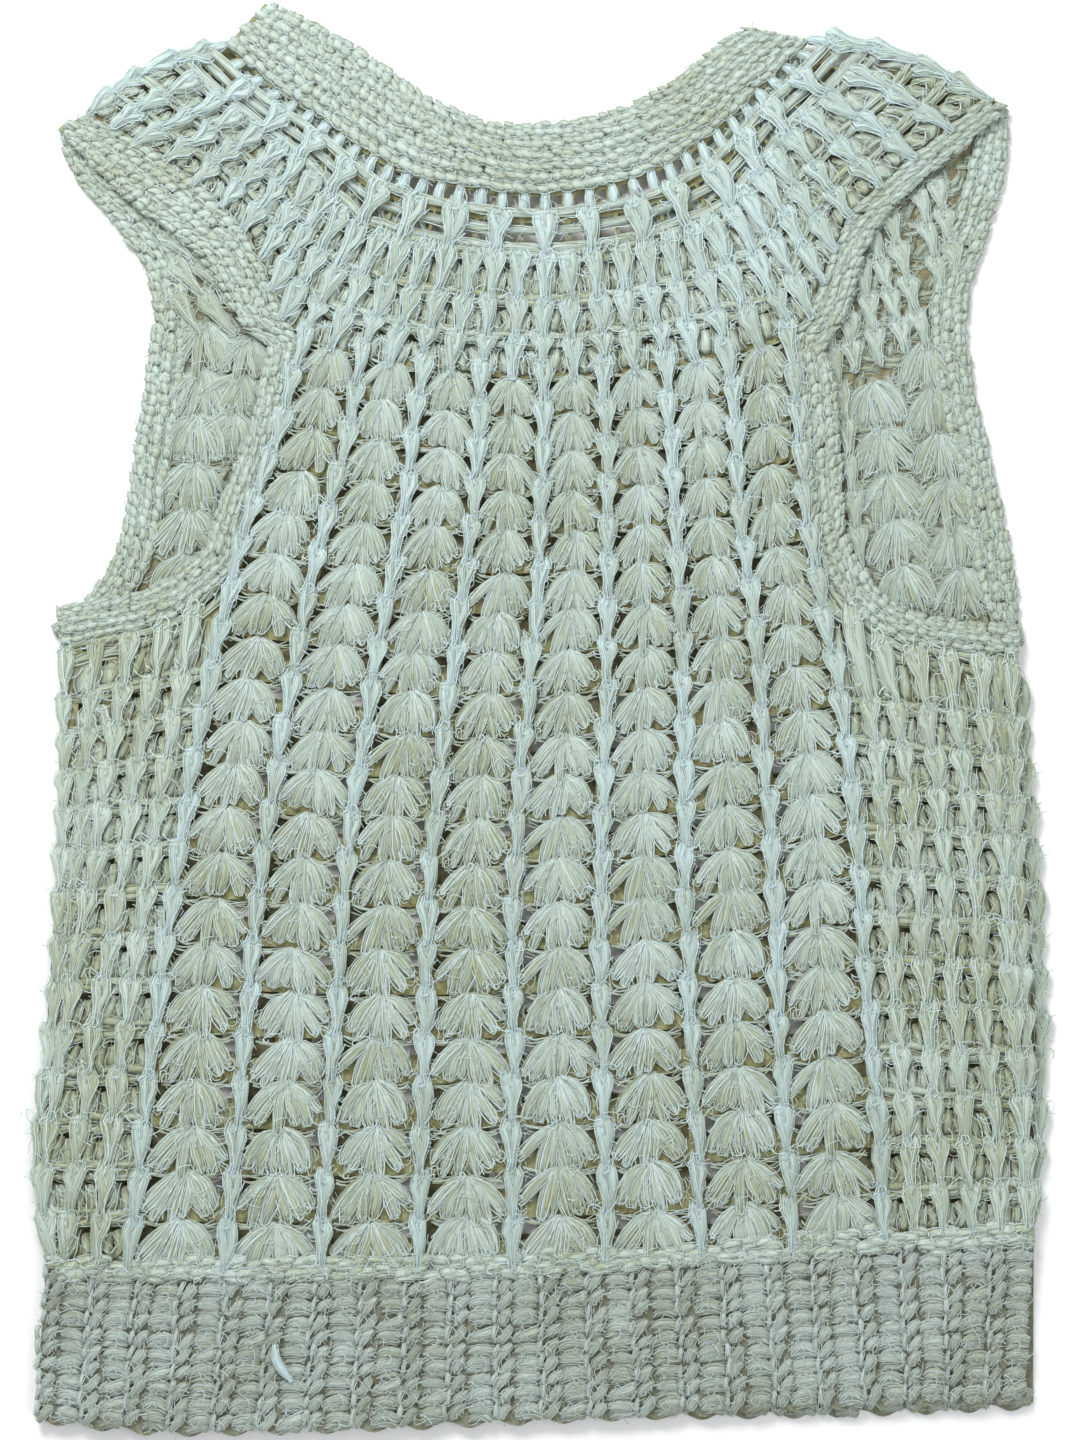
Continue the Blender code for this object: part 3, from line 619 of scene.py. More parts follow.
# %% The backing cloth's finish
def backing_material(name, dark, light, size):
    """The cloth behind the stitches, a mesh of looped yarn, coloured as painted shade: darker than the yarn
    over it, and darkest between the loops.
    """
    material = bpy.data.materials.new(name)
    material.use_nodes = True
    tree = material.node_tree
    shader = tree.nodes["Principled BSDF"]
    shader.inputs["Roughness"].default_value = 0.95
    shader.inputs["Specular IOR Level"].default_value = 0.2
    places = add_node(tree, "ShaderNodeTexCoord")
    loops = add_node(tree, "ShaderNodeTexVoronoi", feature="SMOOTH_F1")
    loops.inputs["Scale"].default_value = 1 / (size * MM)
    join(tree, places.outputs["Object"], loops.inputs["Vector"])
    fluff = add_node(tree, "ShaderNodeTexNoise")
    fluff.inputs["Scale"].default_value = 3.2 / (size * MM)
    fluff.inputs["Detail"].default_value = 3.0
    join(tree, places.outputs["Object"], fluff.inputs["Vector"])
    # Painted shade between the loops.
    painted_shade_mix = ranged(tree, loops.outputs["Distance"], 0.1, 0.65, 0.75, 0)
    colour = mixed(tree, painted_shade_mix, (*dark, 1), (*light, 1))
    speckled = mixed(tree, ranged(tree, fluff.outputs["Fac"], 0.42, 0.7, 0, 0.6), colour, (*light, 1))
    join(tree, speckled, shader.inputs["Base Color"])
    raised = add_node(tree, "ShaderNodeBump")
    raised.inputs["Strength"].default_value = 0.8
    raised.inputs["Distance"].default_value = 0.5 * MM
    join(tree, fluff.outputs["Fac"], raised.inputs["Height"])
    join(tree, raised.outputs["Normal"], shader.inputs["Normal"])
    return material


# The backings' colours are painted shade for the depths under the stitches; the front's is darker than the
# back's, as it lies under the back layer.
BACK_BACKING = backing_material("back_backing", (0.17, 0.155, 0.06), (0.38, 0.39, 0.22), 2.6)
BAND_BACKING = backing_material("band_backing", (0.22, 0.21, 0.11), (0.42, 0.44, 0.29), 2.4)
RIB_BACKING = backing_material("rib_backing", (0.15, 0.145, 0.09), (0.32, 0.34, 0.26), 2.6)
UNDER_BACKING = backing_material("under_backing", (0.14, 0.12, 0.06), (0.34, 0.33, 0.20), 2.8)
print("backing materials are ready")

# %% [markdown]
# ## A bundle of fibres
#
# Up close the yarn is a soft core with fine pale hairs along it, some of them looped or curled. So each
# piece of a stitch is a bundle: one plump length, and flat hairs that follow it over its upper side.
# The hairs could be particle hair, but these are ordinary meshes, which every tool can open.

# %% One plump length with its hairs
HAIR_HALF = 0.15
HAIR_LIFT = 0.18
HAIR_PLACES = np.linspace(0.02, 0.98, 6)
LOOP_PLACES = np.array([0.08, 0.3, 0.6, 0.85, 0.97, 1.0, 0.97, 0.85, 0.6, 0.3, 0.08])
LOOP_SIDES = np.array([-0.35, -0.7, -0.95, -0.9, -0.55, 0.0, 0.55, 0.9, 0.95, 0.7, 0.35])
STRAY = np.array([0.3, 0.3, 0.1])


def wobble(size):
    return generator.normal(0, size, 3) * (1, 1, 0.35)


def slack(path, size):
    """A path whose every point is moved a little by chance."""
    return [np.array(at) + wobble(size) for at in path]


def over(path, wide, high, at, across):
    """Points just over a plump length, at parts of its length and of its half width."""
    middle = eased(path, at)
    ahead = eased(path, np.clip(at + 0.02, 0, 1)) - eased(path, np.clip(at - 0.02, 0, 1))
    side = unit(np.cross(unit(ahead), (0.0, 0.0, 1.0)))
    swell = np.interp(at, np.linspace(0, 1, len(wide)), wide) * across
    crown = high * np.sqrt(np.clip(1 - across**2, 0.1, 1)) + HAIR_LIFT
    points = middle + side * swell[:, None]
    points[:, 2] += crown
    return points + generator.normal(0, 1, points.shape) * STRAY


def hair(blank, line, half=HAIR_HALF, pale=1.0):
    """One hair, thin or thick and dull or pale by chance."""
    return bend(blank, line, half * generator.uniform(0.65, 1.3), half, pale * generator.uniform(0.15, 1.1))


def bundle(path, wide, high, hairs, pale=0.35, core=None, loops=0):
    """A plump yarn with hairs along its upper half, and loops of hair round its end."""
    path = np.asarray(path, float)
    wide = np.ones(2) * wide if np.ndim(wide) == 0 else np.asarray(wide, float)
    yarns = [bend(core or PLUMP, path, wide, high, pale)]
    for place in np.linspace(-0.85, 0.85, hairs) + generator.normal(0, 0.12, hairs):
        across = np.clip(place + np.linspace(0, generator.normal(0, 0.25), len(HAIR_PLACES)), -1, 1)
        yarns.append(hair(FIBRE, over(path, wide, high, HAIR_PLACES, across)))
    for grow in np.linspace(1.1, 0.5, loops):
        yarns.append(hair(LOOP, over(path, wide, high, LOOP_PLACES, LOOP_SIDES * grow)))
    return yarns


def stray_hairs(count, low, high, lift, long):
    """Short hairs that lie any way over a stitch, between two corners of its cell."""
    yarns = []
    for _ in range(count):
        middle = np.array([generator.uniform(low[0], high[0]), generator.uniform(low[1], high[1]), lift])
        turn = generator.uniform(0, 2 * math.pi)
        ahead = np.array([math.cos(turn), math.sin(turn), 0]) * generator.uniform(*long) / 2
        curl = np.array([-ahead[1], ahead[0], 0]) * generator.normal(0, 0.6)
        line = (middle - ahead, middle + curl + (0, 0, 0.2), middle + ahead)
        yarns.append(hair(WISP, line, HAIR_HALF * 0.9))
    return yarns


def curled_hair(centre, size):
    """A hair wound into most of a ring."""
    start = generator.uniform(0, 2 * math.pi)
    turns = start + np.linspace(0, generator.uniform(3.6, 5.8), 6)
    ring = [centre + size * np.array([math.cos(turn), math.sin(turn) * 1.2, 0.1]) for turn in turns]
    return hair(LOOP, ring)


print("yarns in a bundle of five hairs:", len(bundle(((0, 0, 0), (0, 9, 1)), 1.0, 1.0, 5)))

# %% [markdown]
# ## The shell stitch
#
# Tall stitches worked into one hole open like a fan, and each is a loop of fluffy yarn shaped like a
# leaf. Thin wings tie the fan's narrow top to the posts beside it. A fan could be one shaped solid,
# but the photograph shows the hairs of each petal, so petals are bundles, bent one by one. A few
# versions with chance differences keep the rows from looking stamped.

# %% Bend the petals and wings of a shell
SHELL_SIZE = (33.0, 16.5)
SHELL_TOP = np.array([16.5, 0.6])
Petal = namedtuple("Petal", "bend_x bend_y tip_x tip_y half")
PETALS = rows_of(
    Petal,
    (-6.6, 4.4, -12.6, 13.2, 2.3), (-4.6, 6.8, -8.8, 17.2, 2.5), (-1.6, 7.8, -3.1, 18.6, 2.4),
    (1.6, 7.8, 3.1, 18.6, 2.4), (4.6, 6.8, 8.8, 17.2, 2.5), (6.6, 4.4, 12.6, 13.2, 2.3),
)
PETAL_SWELL = (0.3, 0.5, 0.8, 1.0, 1.1, 1.0, 0.8)
PETAL_HIGH = 0.85


def petal_yarns(petal):
    """A leaf shaped bundle with loops round its tip, and a curl or two."""
    start = np.array([*SHELL_TOP, 0.6]) + wobble(0.35) + (petal.bend_x * 0.12, 0, 0)
    knee = np.array([SHELL_TOP[0] + petal.bend_x, SHELL_TOP[1] + petal.bend_y, 1.9]) + wobble(0.6)
    tip = np.array([SHELL_TOP[0] + petal.tip_x, petal.tip_y, 1.2]) + wobble(1.2)
    swell = np.array(PETAL_SWELL) * petal.half * generator.uniform(0.8, 1.2)
    yarns = bundle((start, knee, tip), swell, PETAL_HIGH, 6, 0.05, loops=2)
    above = np.array([0, 0, PETAL_HIGH + HAIR_LIFT])
    place = knee + (tip - knee) * generator.uniform(0.75, 1.0) + above + wobble(1.0)
    return yarns + [curled_hair(place, generator.uniform(0.8, 1.9))]


def wing_yarns(outward):
    """The thin ties from the fan's top to the post on one side."""
    top = np.array([*SHELL_TOP, 1.4])
    yarns = []
    for drop in np.linspace(-0.4, 1.8, 5):
        line = [
            top + (outward * 0.6, drop * 0.4, 0),
            top + (outward * 5.0, 1.2 + drop, 0.1) + wobble(0.5),
            top + (outward * 9.0, 1.5 + drop, 0.0) + wobble(0.8),
            top + (outward * 12.5, 0.4 + drop, -0.2) + wobble(0.8),
        ]
        yarns.append(hair(FIBRE, line, 0.24, 0.5))
    return yarns


def make_shell():
    yarns = [yarn for petal in PETALS for yarn in petal_yarns(petal)]
    yarns += wing_yarns(-1) + wing_yarns(1)
    yarns += stray_hairs(10, (5, 3), (28, 16), 3.0, (2.5, 6)) + stray_hairs(4, (2, 8), (6, 16), 1.6, (3, 6))
    return yarns + stray_hairs(4, (27, 8), (31, 16), 1.6, (3, 6))


SHELLS = [make_shell() for _ in range(10)]
print("yarns in a shell:", len(SHELLS[0]))

# %% [markdown]
# ## The raised post
#
# A post is worked round the one below, so each link looks like a V whose plump arms close into a
# short rope and slip under the next V. Two bundles make the arms, and a short one fills the V's top.
# A braid modelled as one long rope would lose the V that repeats in each row.

# %% Bend the arms of a post's link
POST_SIZE = (12.0, 16.5)
POST_SWELL = (0.8, 1.1, 1.15, 0.98, 0.8, 0.72, 0.62)
POST_HALF = 1.65
POST_HIGH = 1.25


def link_arm(side, lean, lift):
    """One arm of the V, from its rounded top down to the rope and under the next link."""
    middle = POST_SIZE[0] / 2
    path = (
        (middle + side * 1.1 + lean * 1.3, -0.9, 0.5),
        (middle + side * 2.0 + lean, 2.6, 2.1 + lift),
        (middle + side * 1.45, 6.0, 2.7 + lift),
        (middle + side * 0.6, 9.8, 2.6),
        (middle + side * 0.4, 14.0, 2.4),
        (middle + side * 0.4, 19.0, 1.7),
    )
    return slack(path, 0.4)


def make_link():
    lean = generator.normal(0, 0.6)
    middle = POST_SIZE[0] / 2 + lean
    heart = slack(((middle, -0.8, 0.6), (middle, 2.0, 2.0), (middle, 5.4, 2.2)), 0.3)
    yarns = bundle(heart, 2.1, 0.9, 2, 0.15, NUB)
    for side, lift in ((-1, 0.0), (1, 0.35)) if lean < 0 else ((1, 0.0), (-1, 0.35)):
        swell = np.array(POST_SWELL) * POST_HALF * generator.uniform(0.92, 1.1)
        yarns += bundle(link_arm(side, lean, lift), swell, POST_HIGH, 3, 0.2, loops=1)
    yarns.append(curled_hair(np.array([middle, 1.5, 3.6]) + wobble(1.2), generator.uniform(0.9, 1.8)))
    yarns += stray_hairs(7, (1.0, -2), (11, 7), 3.6, (2.5, 6))
    return yarns + stray_hairs(3, (3, 8), (9, 16), 3.4, (2.5, 6))


LINKS = [make_link() for _ in range(12)]
print("yarns in a link:", len(LINKS[0]))

# %% [markdown]
# ## Bars, short stitches and rib stitches
#
# The rest are small. Bars are the tops of a row that show between posts. A band's single crochet is a
# closely packed knot of yarn. The rib was worked sideways, so its rows stand upright: a column of
# slanted strokes, a column of puffs, and a chain where the fabric folds between ribs.

# %% Bend the small stitches
BAR_SIZE = (16.5, 4.0)
FILL_SIZE = (10.0, 16.5)
SINGLE_SIZE = (4.7, 4.4)
RIB_SIZE = (17.5, 6.5)


def make_bar():
    """A flat strand, a little slack, with its hairs."""
    line = slack(((0, 2, 1.0), (8.2, 2.4, 1.0), (16.5, 2, 1.0)), 0.25)
    return bundle(line, 1.75, 0.6, 5, 0.2)


def make_filling():
    """What shows between two posts: the row's top in two strands, and two short puffs lower down."""
    yarns = []
    for path, half, hairs in (
        (((-0.5, 0.4, 0.9), (5, 1.2, 1.2), (10.5, 0.4, 0.9)), 1.8, 2),
        (((-0.5, 3.8, 0.6), (5, 4.4, 0.9), (10.5, 3.8, 0.6)), 1.6, 2),
        (((2.9, 17.4, 0.8), (2.8, 12.4, 1.3), (3.7, 7.6, 0.3)), 2.2, 3),
        (((7.1, 17.4, 0.8), (7.3, 12.6, 1.3), (6.3, 7.8, 0.3)), 2.2, 3),
    ):
        line = slack(path, 0.8)
        yarns += bundle(line, half * generator.uniform(0.8, 1.25), 0.75, hairs, 0.2, NUB)
    return yarns + stray_hairs(9, (0, 0), (10, 16), 2.2, (2.5, 6))


def make_treble():
    """A tall plain stitch, one slim bundle from the bar up to the neck band."""
    line = slack(((6, -1.5, 0.7), (6, 8.0, 1.7), (6, 18.0, 1.2)), 0.3)
    return bundle(line, (1.9, 2.2, 2.2, 2.0), 1.1, 4, 0.35, loops=1)


def make_single():
    """A single crochet: one rounded knot along the row, with the hairs of its own loops."""
    yarns = []
    for path, half, high in (
        (((-0.5, 2.9, 0.9), (2.3, 1.9, 1.35), (5.2, 2.5, 0.9)), 2.25, 0.7),
        (((-0.1, 5.0, 0.8), (2.3, 4.3, 1.1), (4.7, 4.9, 0.8)), 1.6, 0.6),
    ):
        line = slack(path, 0.35)
        wide = np.ones(2) * half * generator.uniform(0.85, 1.15)
        yarns += bundle(line, wide, high, 2, generator.uniform(0.1, 0.4), NUB)
    return yarns + stray_hairs(2, (0, 0), (4.7, 4.4), 2.6, (1.5, 4.0))


def make_rib_stitch():
    """One stitch of a rib: a link of the chain, a slanted stroke and a puff of two lobes."""
    chain = ((0.9, -0.7, 0.9), (0.5, 2.6, 1.8), (0.1, 6.6, 0.8))
    stroke = ((1.4, 7.0, 0.6), (4.3, 3.6, 1.6), (7.2, 0.4, 0.8))
    puff = ((7.6, 4.2, 0.7), (12.6, 2.2, 1.8), (17.6, 3.4, 0.7))
    under = ((7.8, 6.8, 0.6), (12.6, 5.4, 1.3), (17.2, 6.6, 0.6))
    yarns = []
    for path, half, hairs, pale, core in (
        (chain, 1.0, 2, 0.5, NUB),
        (stroke, 2.1, 4, 0.15, PLUMP),
        (puff, 2.9, 5, 0.15, PLUMP),
        (under, 2.3, 3, 0.1, NUB),
    ):
        line = slack(path, 0.6)
        wide = np.array((0.8, 1.0, 0.85)) * half * generator.uniform(0.88, 1.12)
        yarns += bundle(line, wide, 0.85, hairs, pale, core)
    yarns.append(curled_hair(np.array([12.5, 3.0, 2.9]) + wobble(2.0), generator.uniform(0.8, 1.8)))
    return yarns + stray_hairs(11, (0, 0), (17, 6), 2.7, (2.0, 6))


BARS = [make_bar() for _ in range(6)]
FILLINGS = [make_filling() for _ in range(8)]
TREBLES = [make_treble() for _ in range(6)]
SINGLES = [make_single() for _ in range(16)]
RIB_STITCHES = [make_rib_stitch() for _ in range(12)]
for label, stitches in (("bar", BARS), ("single crochet", SINGLES), ("rib stitch", RIB_STITCHES)):
    print("yarns in a", label, len(stitches[0]))

# %% [markdown]
# ## Cells on the maps
#
# A stitch needs four corners and a height. For a shell they are four places on the map. A link takes
# the line of its post and a fixed width to each side, and a band's row takes the seam and the free
# edge, cut into equal steps. All of it is done for whole arrays, which is quick.


# %% Turn maps into cells
def grid_cells(place, columns, rows, height):
    """A cell for each column and row, from a map."""
    column, row = (a.ravel().astype(float) for a in np.meshgrid(columns, rows))
    corners = (place(column + a, row + b) for a, b in ((0, 0), (1, 0), (0, 1), (1, 1)))
    return Cells(*corners, np.full(len(column), float(height)))


def right_of(line):
    """The unit direction to the right of a line that runs down the page."""
    forward = unit(np.gradient(line, axis=0))
    return np.stack([-forward[:, 1], forward[:, 0]], axis=-1)


def rope_cells(line, wide, height):
    """A cell for each step of a line, as wide as asked for."""
    out = right_of(line) * wide / 2
    return Cells(
        line[:-1] - out[:-1],
        line[:-1] + out[:-1],
        line[1:] - out[1:],
        line[1:] + out[1:],
        np.full(len(line) - 1, float(height)),
    )


def jittered(cells, size):
    """Cells moved a little, each by its own chance, as hand work isn't even."""
    shape = (len(cells.height), 2)
    whole = generator.normal(0, size, shape)
    corners = [corner + whole + generator.normal(0, size * 0.6, shape) for corner in cells[:4]]
    return Cells(*corners, cells.height + generator.normal(0, size * 0.25, len(cells.height)))


def together(groups):
    return Cells(*(np.concatenate(parts) for parts in zip(*groups)))


def resampled(line, count):
    """A line with evenly spaced points, on a smooth curve through its own."""
    line = np.asarray(line, float)
    places = np.concatenate([[0], np.cumsum(np.linalg.norm(np.diff(line, axis=0), axis=1))])
    slopes = np.gradient(line, places, axis=0)
    at = np.linspace(0, places[-1], count)
    k = np.clip(np.searchsorted(places, at, side="right") - 1, 0, len(line) - 2)
    span = (places[k + 1] - places[k])[:, None]
    t = (at - places[k])[:, None] / span
    return curve(line[k], line[k + 1], slopes[k] * span, slopes[k + 1] * span, t)


def strip_cells(place, length, rows, pitch, height, crown):
    """Rows of stitches along a band, whose place takes a part along and a part across."""
    groups = []
    for row in range(rows):
        count = int(length / pitch)
        stagger = 0.5 * (row % 2)
        steps = np.clip((np.arange(count + 1) + stagger) / count, 0, 1)
        start = place(steps, np.full(count + 1, row / rows))
        end = place(steps, np.full(count + 1, (row + 1) / rows))
        rise = height + crown * math.sin(math.pi * (row + 0.5) / rows)
        groups.append(Cells(start[:-1], start[1:], end[:-1], end[1:], np.full(count, rise)))
    return together(groups)


print("cell makers are ready")

# %% [markdown]
# ## The backing cloth with its gaps
#
# Behind the stitches lies a thin cloth that carries them, open beside each post. It is made from the
# map as a grid of cells with the gaps left out, and the Solidify modifier gives it its thickness.
# Cutting the gaps with Booleans would give the same holes, but a grid keeps the cloth's rows.

# %% Build and thicken a backing
def backing(name, groups, material, height, thick=BACKING):
    """A thin sheet of all the cells in some groups, welded where they meet."""
    cells = together(groups)
    corners = np.stack(cells[:4], axis=1).reshape(-1, 2)
    keys, numbers = np.unique(np.round(corners, 2), axis=0, return_inverse=True)
    faces = numbers.reshape(-1, 4)[:, (0, 2, 3, 1)]
    mesh = bpy.data.meshes.new(name)
    flat = (keys + SHIFT) * MM
    rise = np.full((len(flat), 1), height * MM)
    mesh.from_pydata(np.hstack([flat, rise]).tolist(), [], faces.tolist())
    mesh.validate()
    thing = bpy.data.objects.new(name, mesh)
    bpy.context.scene.collection.objects.link(thing)
    mesh.materials.append(material)
    start_clean()
    thing.select_set(True)
    bpy.context.view_layer.objects.active = thing
    bpy.ops.object.mode_set(mode="EDIT")
    bpy.ops.mesh.select_all(action="SELECT")
    bpy.ops.mesh.normals_make_consistent(inside=False)
    bpy.ops.object.mode_set(mode="OBJECT")
    if mesh.polygons[0].normal.z < 0:
        mesh.flip_normals()
    wall = thing.modifiers.new("wall", "SOLIDIFY")
    wall.thickness = thick * MM
    wall.offset = -1
    wall.use_even_offset = False
    bpy.ops.object.modifier_apply(modifier=wall.name)
    mesh.shade_flat()
    print(name, "has", len(thing.data.polygons), "faces")
    return thing


def open_grid(place, columns, rows, across, down, is_gap):
    """Cells between the given fractions of each column and row, without the gaps."""
    groups = []
    for a, b in zip(across, across[1:]):
        for c, d in zip(down, down[1:]):
            if is_gap((a + b) / 2, (c + d) / 2):
                continue
            column, row = (x.ravel().astype(float) for x in np.meshgrid(columns, rows))
            corners = (place(column + u, row + v) for u, v in ((a, c), (b, c), (a, d), (b, d)))
            groups.append(Cells(*corners, np.zeros(len(column))))
    return together(groups)


BACKING_ROWS = 3


def backing_rows(place, steps):
    """Rows of plain cells behind a band or a rib."""
    groups = []
    across = np.linspace(0, 1, BACKING_ROWS + 1)
    for a, b in zip(across, across[1:]):
        upper, lower = (place(steps, np.full(len(steps), at)) for at in (a, b))
        groups.append(Cells(upper[:-1], upper[1:], lower[:-1], lower[1:], np.zeros(len(steps) - 1)))
    return groups


def inside(value, *ranges):
    return any(low < value < high for low, high in ranges)


def side_grid(columns, first_row, steps):
    """The side's cells between its posts, with one gap in each row."""
    rows = np.concatenate([[first_row - UNDERARM_STEP], np.arange(first_row, BODY_ROWS + 1)])
    groups = []
    for column in columns:
        for a, b in zip(steps, steps[1:]):
            for c, d in ((0.0, 0.2), (0.2, 0.62), (0.62, 1.0)):
                if inside((a + b) / 2, (0.3, 0.7)) and inside((c + d) / 2, (0.2, 0.62)):
                    continue
                upper = between(rows[:-1, None], rows[1:, None], np.full(len(rows) - 1, c))[:, 0]
                lower = between(rows[:-1, None], rows[1:, None], np.full(len(rows) - 1, d))[:, 0]
                corners = [side_place(column + x, at) for at in (upper, lower) for x in (a, b)]
                groups.append(Cells(*corners, np.zeros(len(upper))))
    return together(groups)


ACROSS = (0.0, 0.08, 0.34, 0.5, 0.66, 0.92, 1.0)
BODY_DOWN = (0.0, 0.08, 0.55, 0.78, 1.0)
body_grid = open_grid(
    body_place, range(MAIN_COLUMNS), range(BODY_ROWS), ACROSS, BODY_DOWN,
    lambda u, v: inside(u, (0.08, 0.34), (0.66, 0.92)) and inside(v, (0.08, 0.55)),
)
yoke_columns = range(YOKE_FIRST, YOKE_LAST)
yoke_top = open_grid(
    yoke_place, yoke_columns, [-5], (0.0, 0.14, 0.36, 0.64, 0.86, 1.0), (0.0, 0.15, 0.9, 1.0),
    lambda u, v: inside(u, (0.14, 0.36), (0.64, 0.86)) and inside(v, (0.15, 0.9)),
)
yoke_open = open_grid(
    yoke_place, yoke_columns, [-4], (0.0, 0.16, 0.46, 0.54, 0.84, 1.0), (0.0, 0.25, 0.8, 1.0),
    lambda u, v: inside(u, (0.16, 0.46), (0.54, 0.84)) and inside(v, (0.25, 0.8)),
)
yoke_low = open_grid(
    yoke_place, yoke_columns, [-3, -2, -1], (0.0, 0.14, 0.36, 0.64, 0.86, 1.0), (0.0, 0.2, 0.7, 1.0),
    lambda u, v: inside(u, (0.14, 0.36), (0.64, 0.86)) and inside(v, (0.2, 0.7)),
)
SIDE_STEPS = (0.0, 0.3, 0.7, 1.0)
left_grid = side_grid(range(-LEFT_SIDE_COLUMNS, 0), LEFT_SIDE_ROW, SIDE_STEPS)
right_grid = side_grid(
    range(MAIN_COLUMNS, MAIN_COLUMNS + RIGHT_SIDE_COLUMNS), RIGHT_SIDE_ROW, SIDE_STEPS
)
back_cloth = backing(
    "back_cloth",
    (body_grid, yoke_top, yoke_open, yoke_low, left_grid, right_grid),
    BACK_BACKING,
    UPPER_CLOTH,
)

# %% [markdown]
# ## The back's shells
#
# Each of the eight columns has a shell in each row. They only rest on each other, so the order in
# which they are laid doesn't matter. The columns go into two pieces, so that neither mesh grows too
# heavy to edit.

# %% Lay the shells
def lay_shells(name, columns):
    heap = Heap()
    cells = grid_cells(body_place, columns, range(BODY_ROWS), UPPER_CLOTH)
    scatter(heap, SHELLS, SHELL_SIZE, jittered(cells, 0.5))
    return heap.piece(name, SHELL_YARN)


shell_pieces = [lay_shells("back_shells_left", range(4)), lay_shells("back_shells_right", range(4, 8))]

# %% [markdown]
# ## The back's posts
#
# Nine main posts run from the neck band to the hem, and one more stands between each two of them in
# the yoke. At the sides plain posts stand close together. All use the same link.

# %% Lay the main posts
def lay_posts(heap, line, wide, height, pale=0.0):
    scatter(heap, LINKS, POST_SIZE, jittered(rope_cells(line, wide, height), 0.3), pale)


heap = Heap()
POST_WIDE = 12.5
POST_START = -0.4
main_rows = np.linspace(POST_START, BODY_ROWS, BODY_ROWS + 1)
for column in range(MAIN_COLUMNS + 1):
    line = body_place(column, main_rows)
    line[0] = yoke_place(column, POST_START)
    lay_posts(heap, line, POST_WIDE, UPPER_CLOTH)
body_posts = heap.piece("back_posts", POST_YARN)

# %% Lay the side posts
heap = Heap()
SIDE_WIDE, FOLD_WIDE = 13.2, 12.5
FOLD_INSET = 1.8
SIDE_START = -0.15
SOFT_ROWS = 9


def side_rows(first):
    return np.concatenate([[first - UNDERARM_STEP], np.arange(first + 1, BODY_ROWS + 1) + SIDE_START])


for outward, count, main, first in (
    (-1, LEFT_SIDE_COLUMNS, 0, LEFT_SIDE_ROW), (1, RIGHT_SIDE_COLUMNS, MAIN_COLUMNS, RIGHT_SIDE_ROW)
):
    for step in range(1, count + 1):
        line = side_place(main + outward * step, side_rows(first))
        if step == count:
            line[:, 0] -= outward * FOLD_INSET
            lay_posts(heap, line, FOLD_WIDE, UPPER_CLOTH - 1.2, 0.0)
        else:
            lay_posts(heap, line, SIDE_WIDE, UPPER_CLOTH - 0.2, 0.0)
    soft = side_place(main + outward * (count - 0.5), side_rows(first)[:SOFT_ROWS])
    lay_posts(heap, soft, FOLD_WIDE, UPPER_CLOTH - 1.4, -0.25)
side_posts = heap.piece("back_side_posts", SHELL_YARN)

# %% Lay the yoke's posts
heap = Heap()
YOKE_WIDE, MERGE_WIDE, TREBLE_WIDE = 13.5, 16.0, 10.5
for column in np.arange(YOKE_FIRST, YOKE_LAST + 0.5, 0.5):
    whole = column == round(column)
    main = whole and 0 <= column <= MAIN_COLUMNS
    low_rows = np.array([-3.0, -2.0, -1.0, POST_START if main else 0.0])
    drop = 1.0 if column in (YOKE_FIRST, YOKE_LAST) else 0.0
    lay_posts(heap, yoke_place(np.full(4, column), low_rows), YOKE_WIDE, UPPER_CLOTH - drop)
    if whole:
        merge = yoke_place(np.full(2, column), np.array([-4.1, -3.0]))
        lay_posts(heap, merge, MERGE_WIDE, UPPER_CLOTH - drop)
    top = yoke_place(np.full(2, column), np.array([-5.0, -4.0]))
    scatter(heap, TREBLES, POST_SIZE, rope_cells(top, TREBLE_WIDE, UPPER_CLOTH - 0.5), 0.15, 0.85)
yoke_posts = heap.piece("back_yoke_posts", POST_YARN)

# %% [markdown]
# ## What lies between the posts
#
# The tops of the rows show as strands across: two bars over the open row under the neck band, and a
# pair in each row at the sides and low in the yoke, with short puffs below that leave a small hole.

# %% Lay the bars and fillings
def bar_cells(left, right, high, height):
    """Cells that reach from the left points to the right ones, as high as asked for."""
    along = unit(right - left)
    down = np.stack([along[:, 1], -along[:, 0]], axis=-1) * high / 2
    return Cells(left - down, right - down, left + down, right + down, np.full(len(left), float(height)))


def filling_cells(place, columns, step, rows, height):
    """A cell between each two posts, for each step down a list of rows."""
    groups = []
    for column in columns:
        left, right = place(column, rows), place(column + step, rows)
        heights = np.full(len(rows) - 1, float(height))
        groups.append(Cells(left[:-1], right[:-1], left[1:], right[1:], heights))
    return together(groups)


def on_yoke(column, rows):
    return yoke_place(np.full(len(rows), column), rows)


SIDE_FILL_INSET = 4.5
SIDE_FILL_DROP = 0.4


def on_side(column, rows):
    """A line down the side, moved in where it is the fold itself, so that no strand sticks out."""
    line = side_place(column, rows)
    if column == -LEFT_SIDE_COLUMNS:
        line[:, 0] += SIDE_FILL_INSET
    if column == MAIN_COLUMNS + RIGHT_SIDE_COLUMNS:
        line[:, 0] -= SIDE_FILL_INSET
    return line


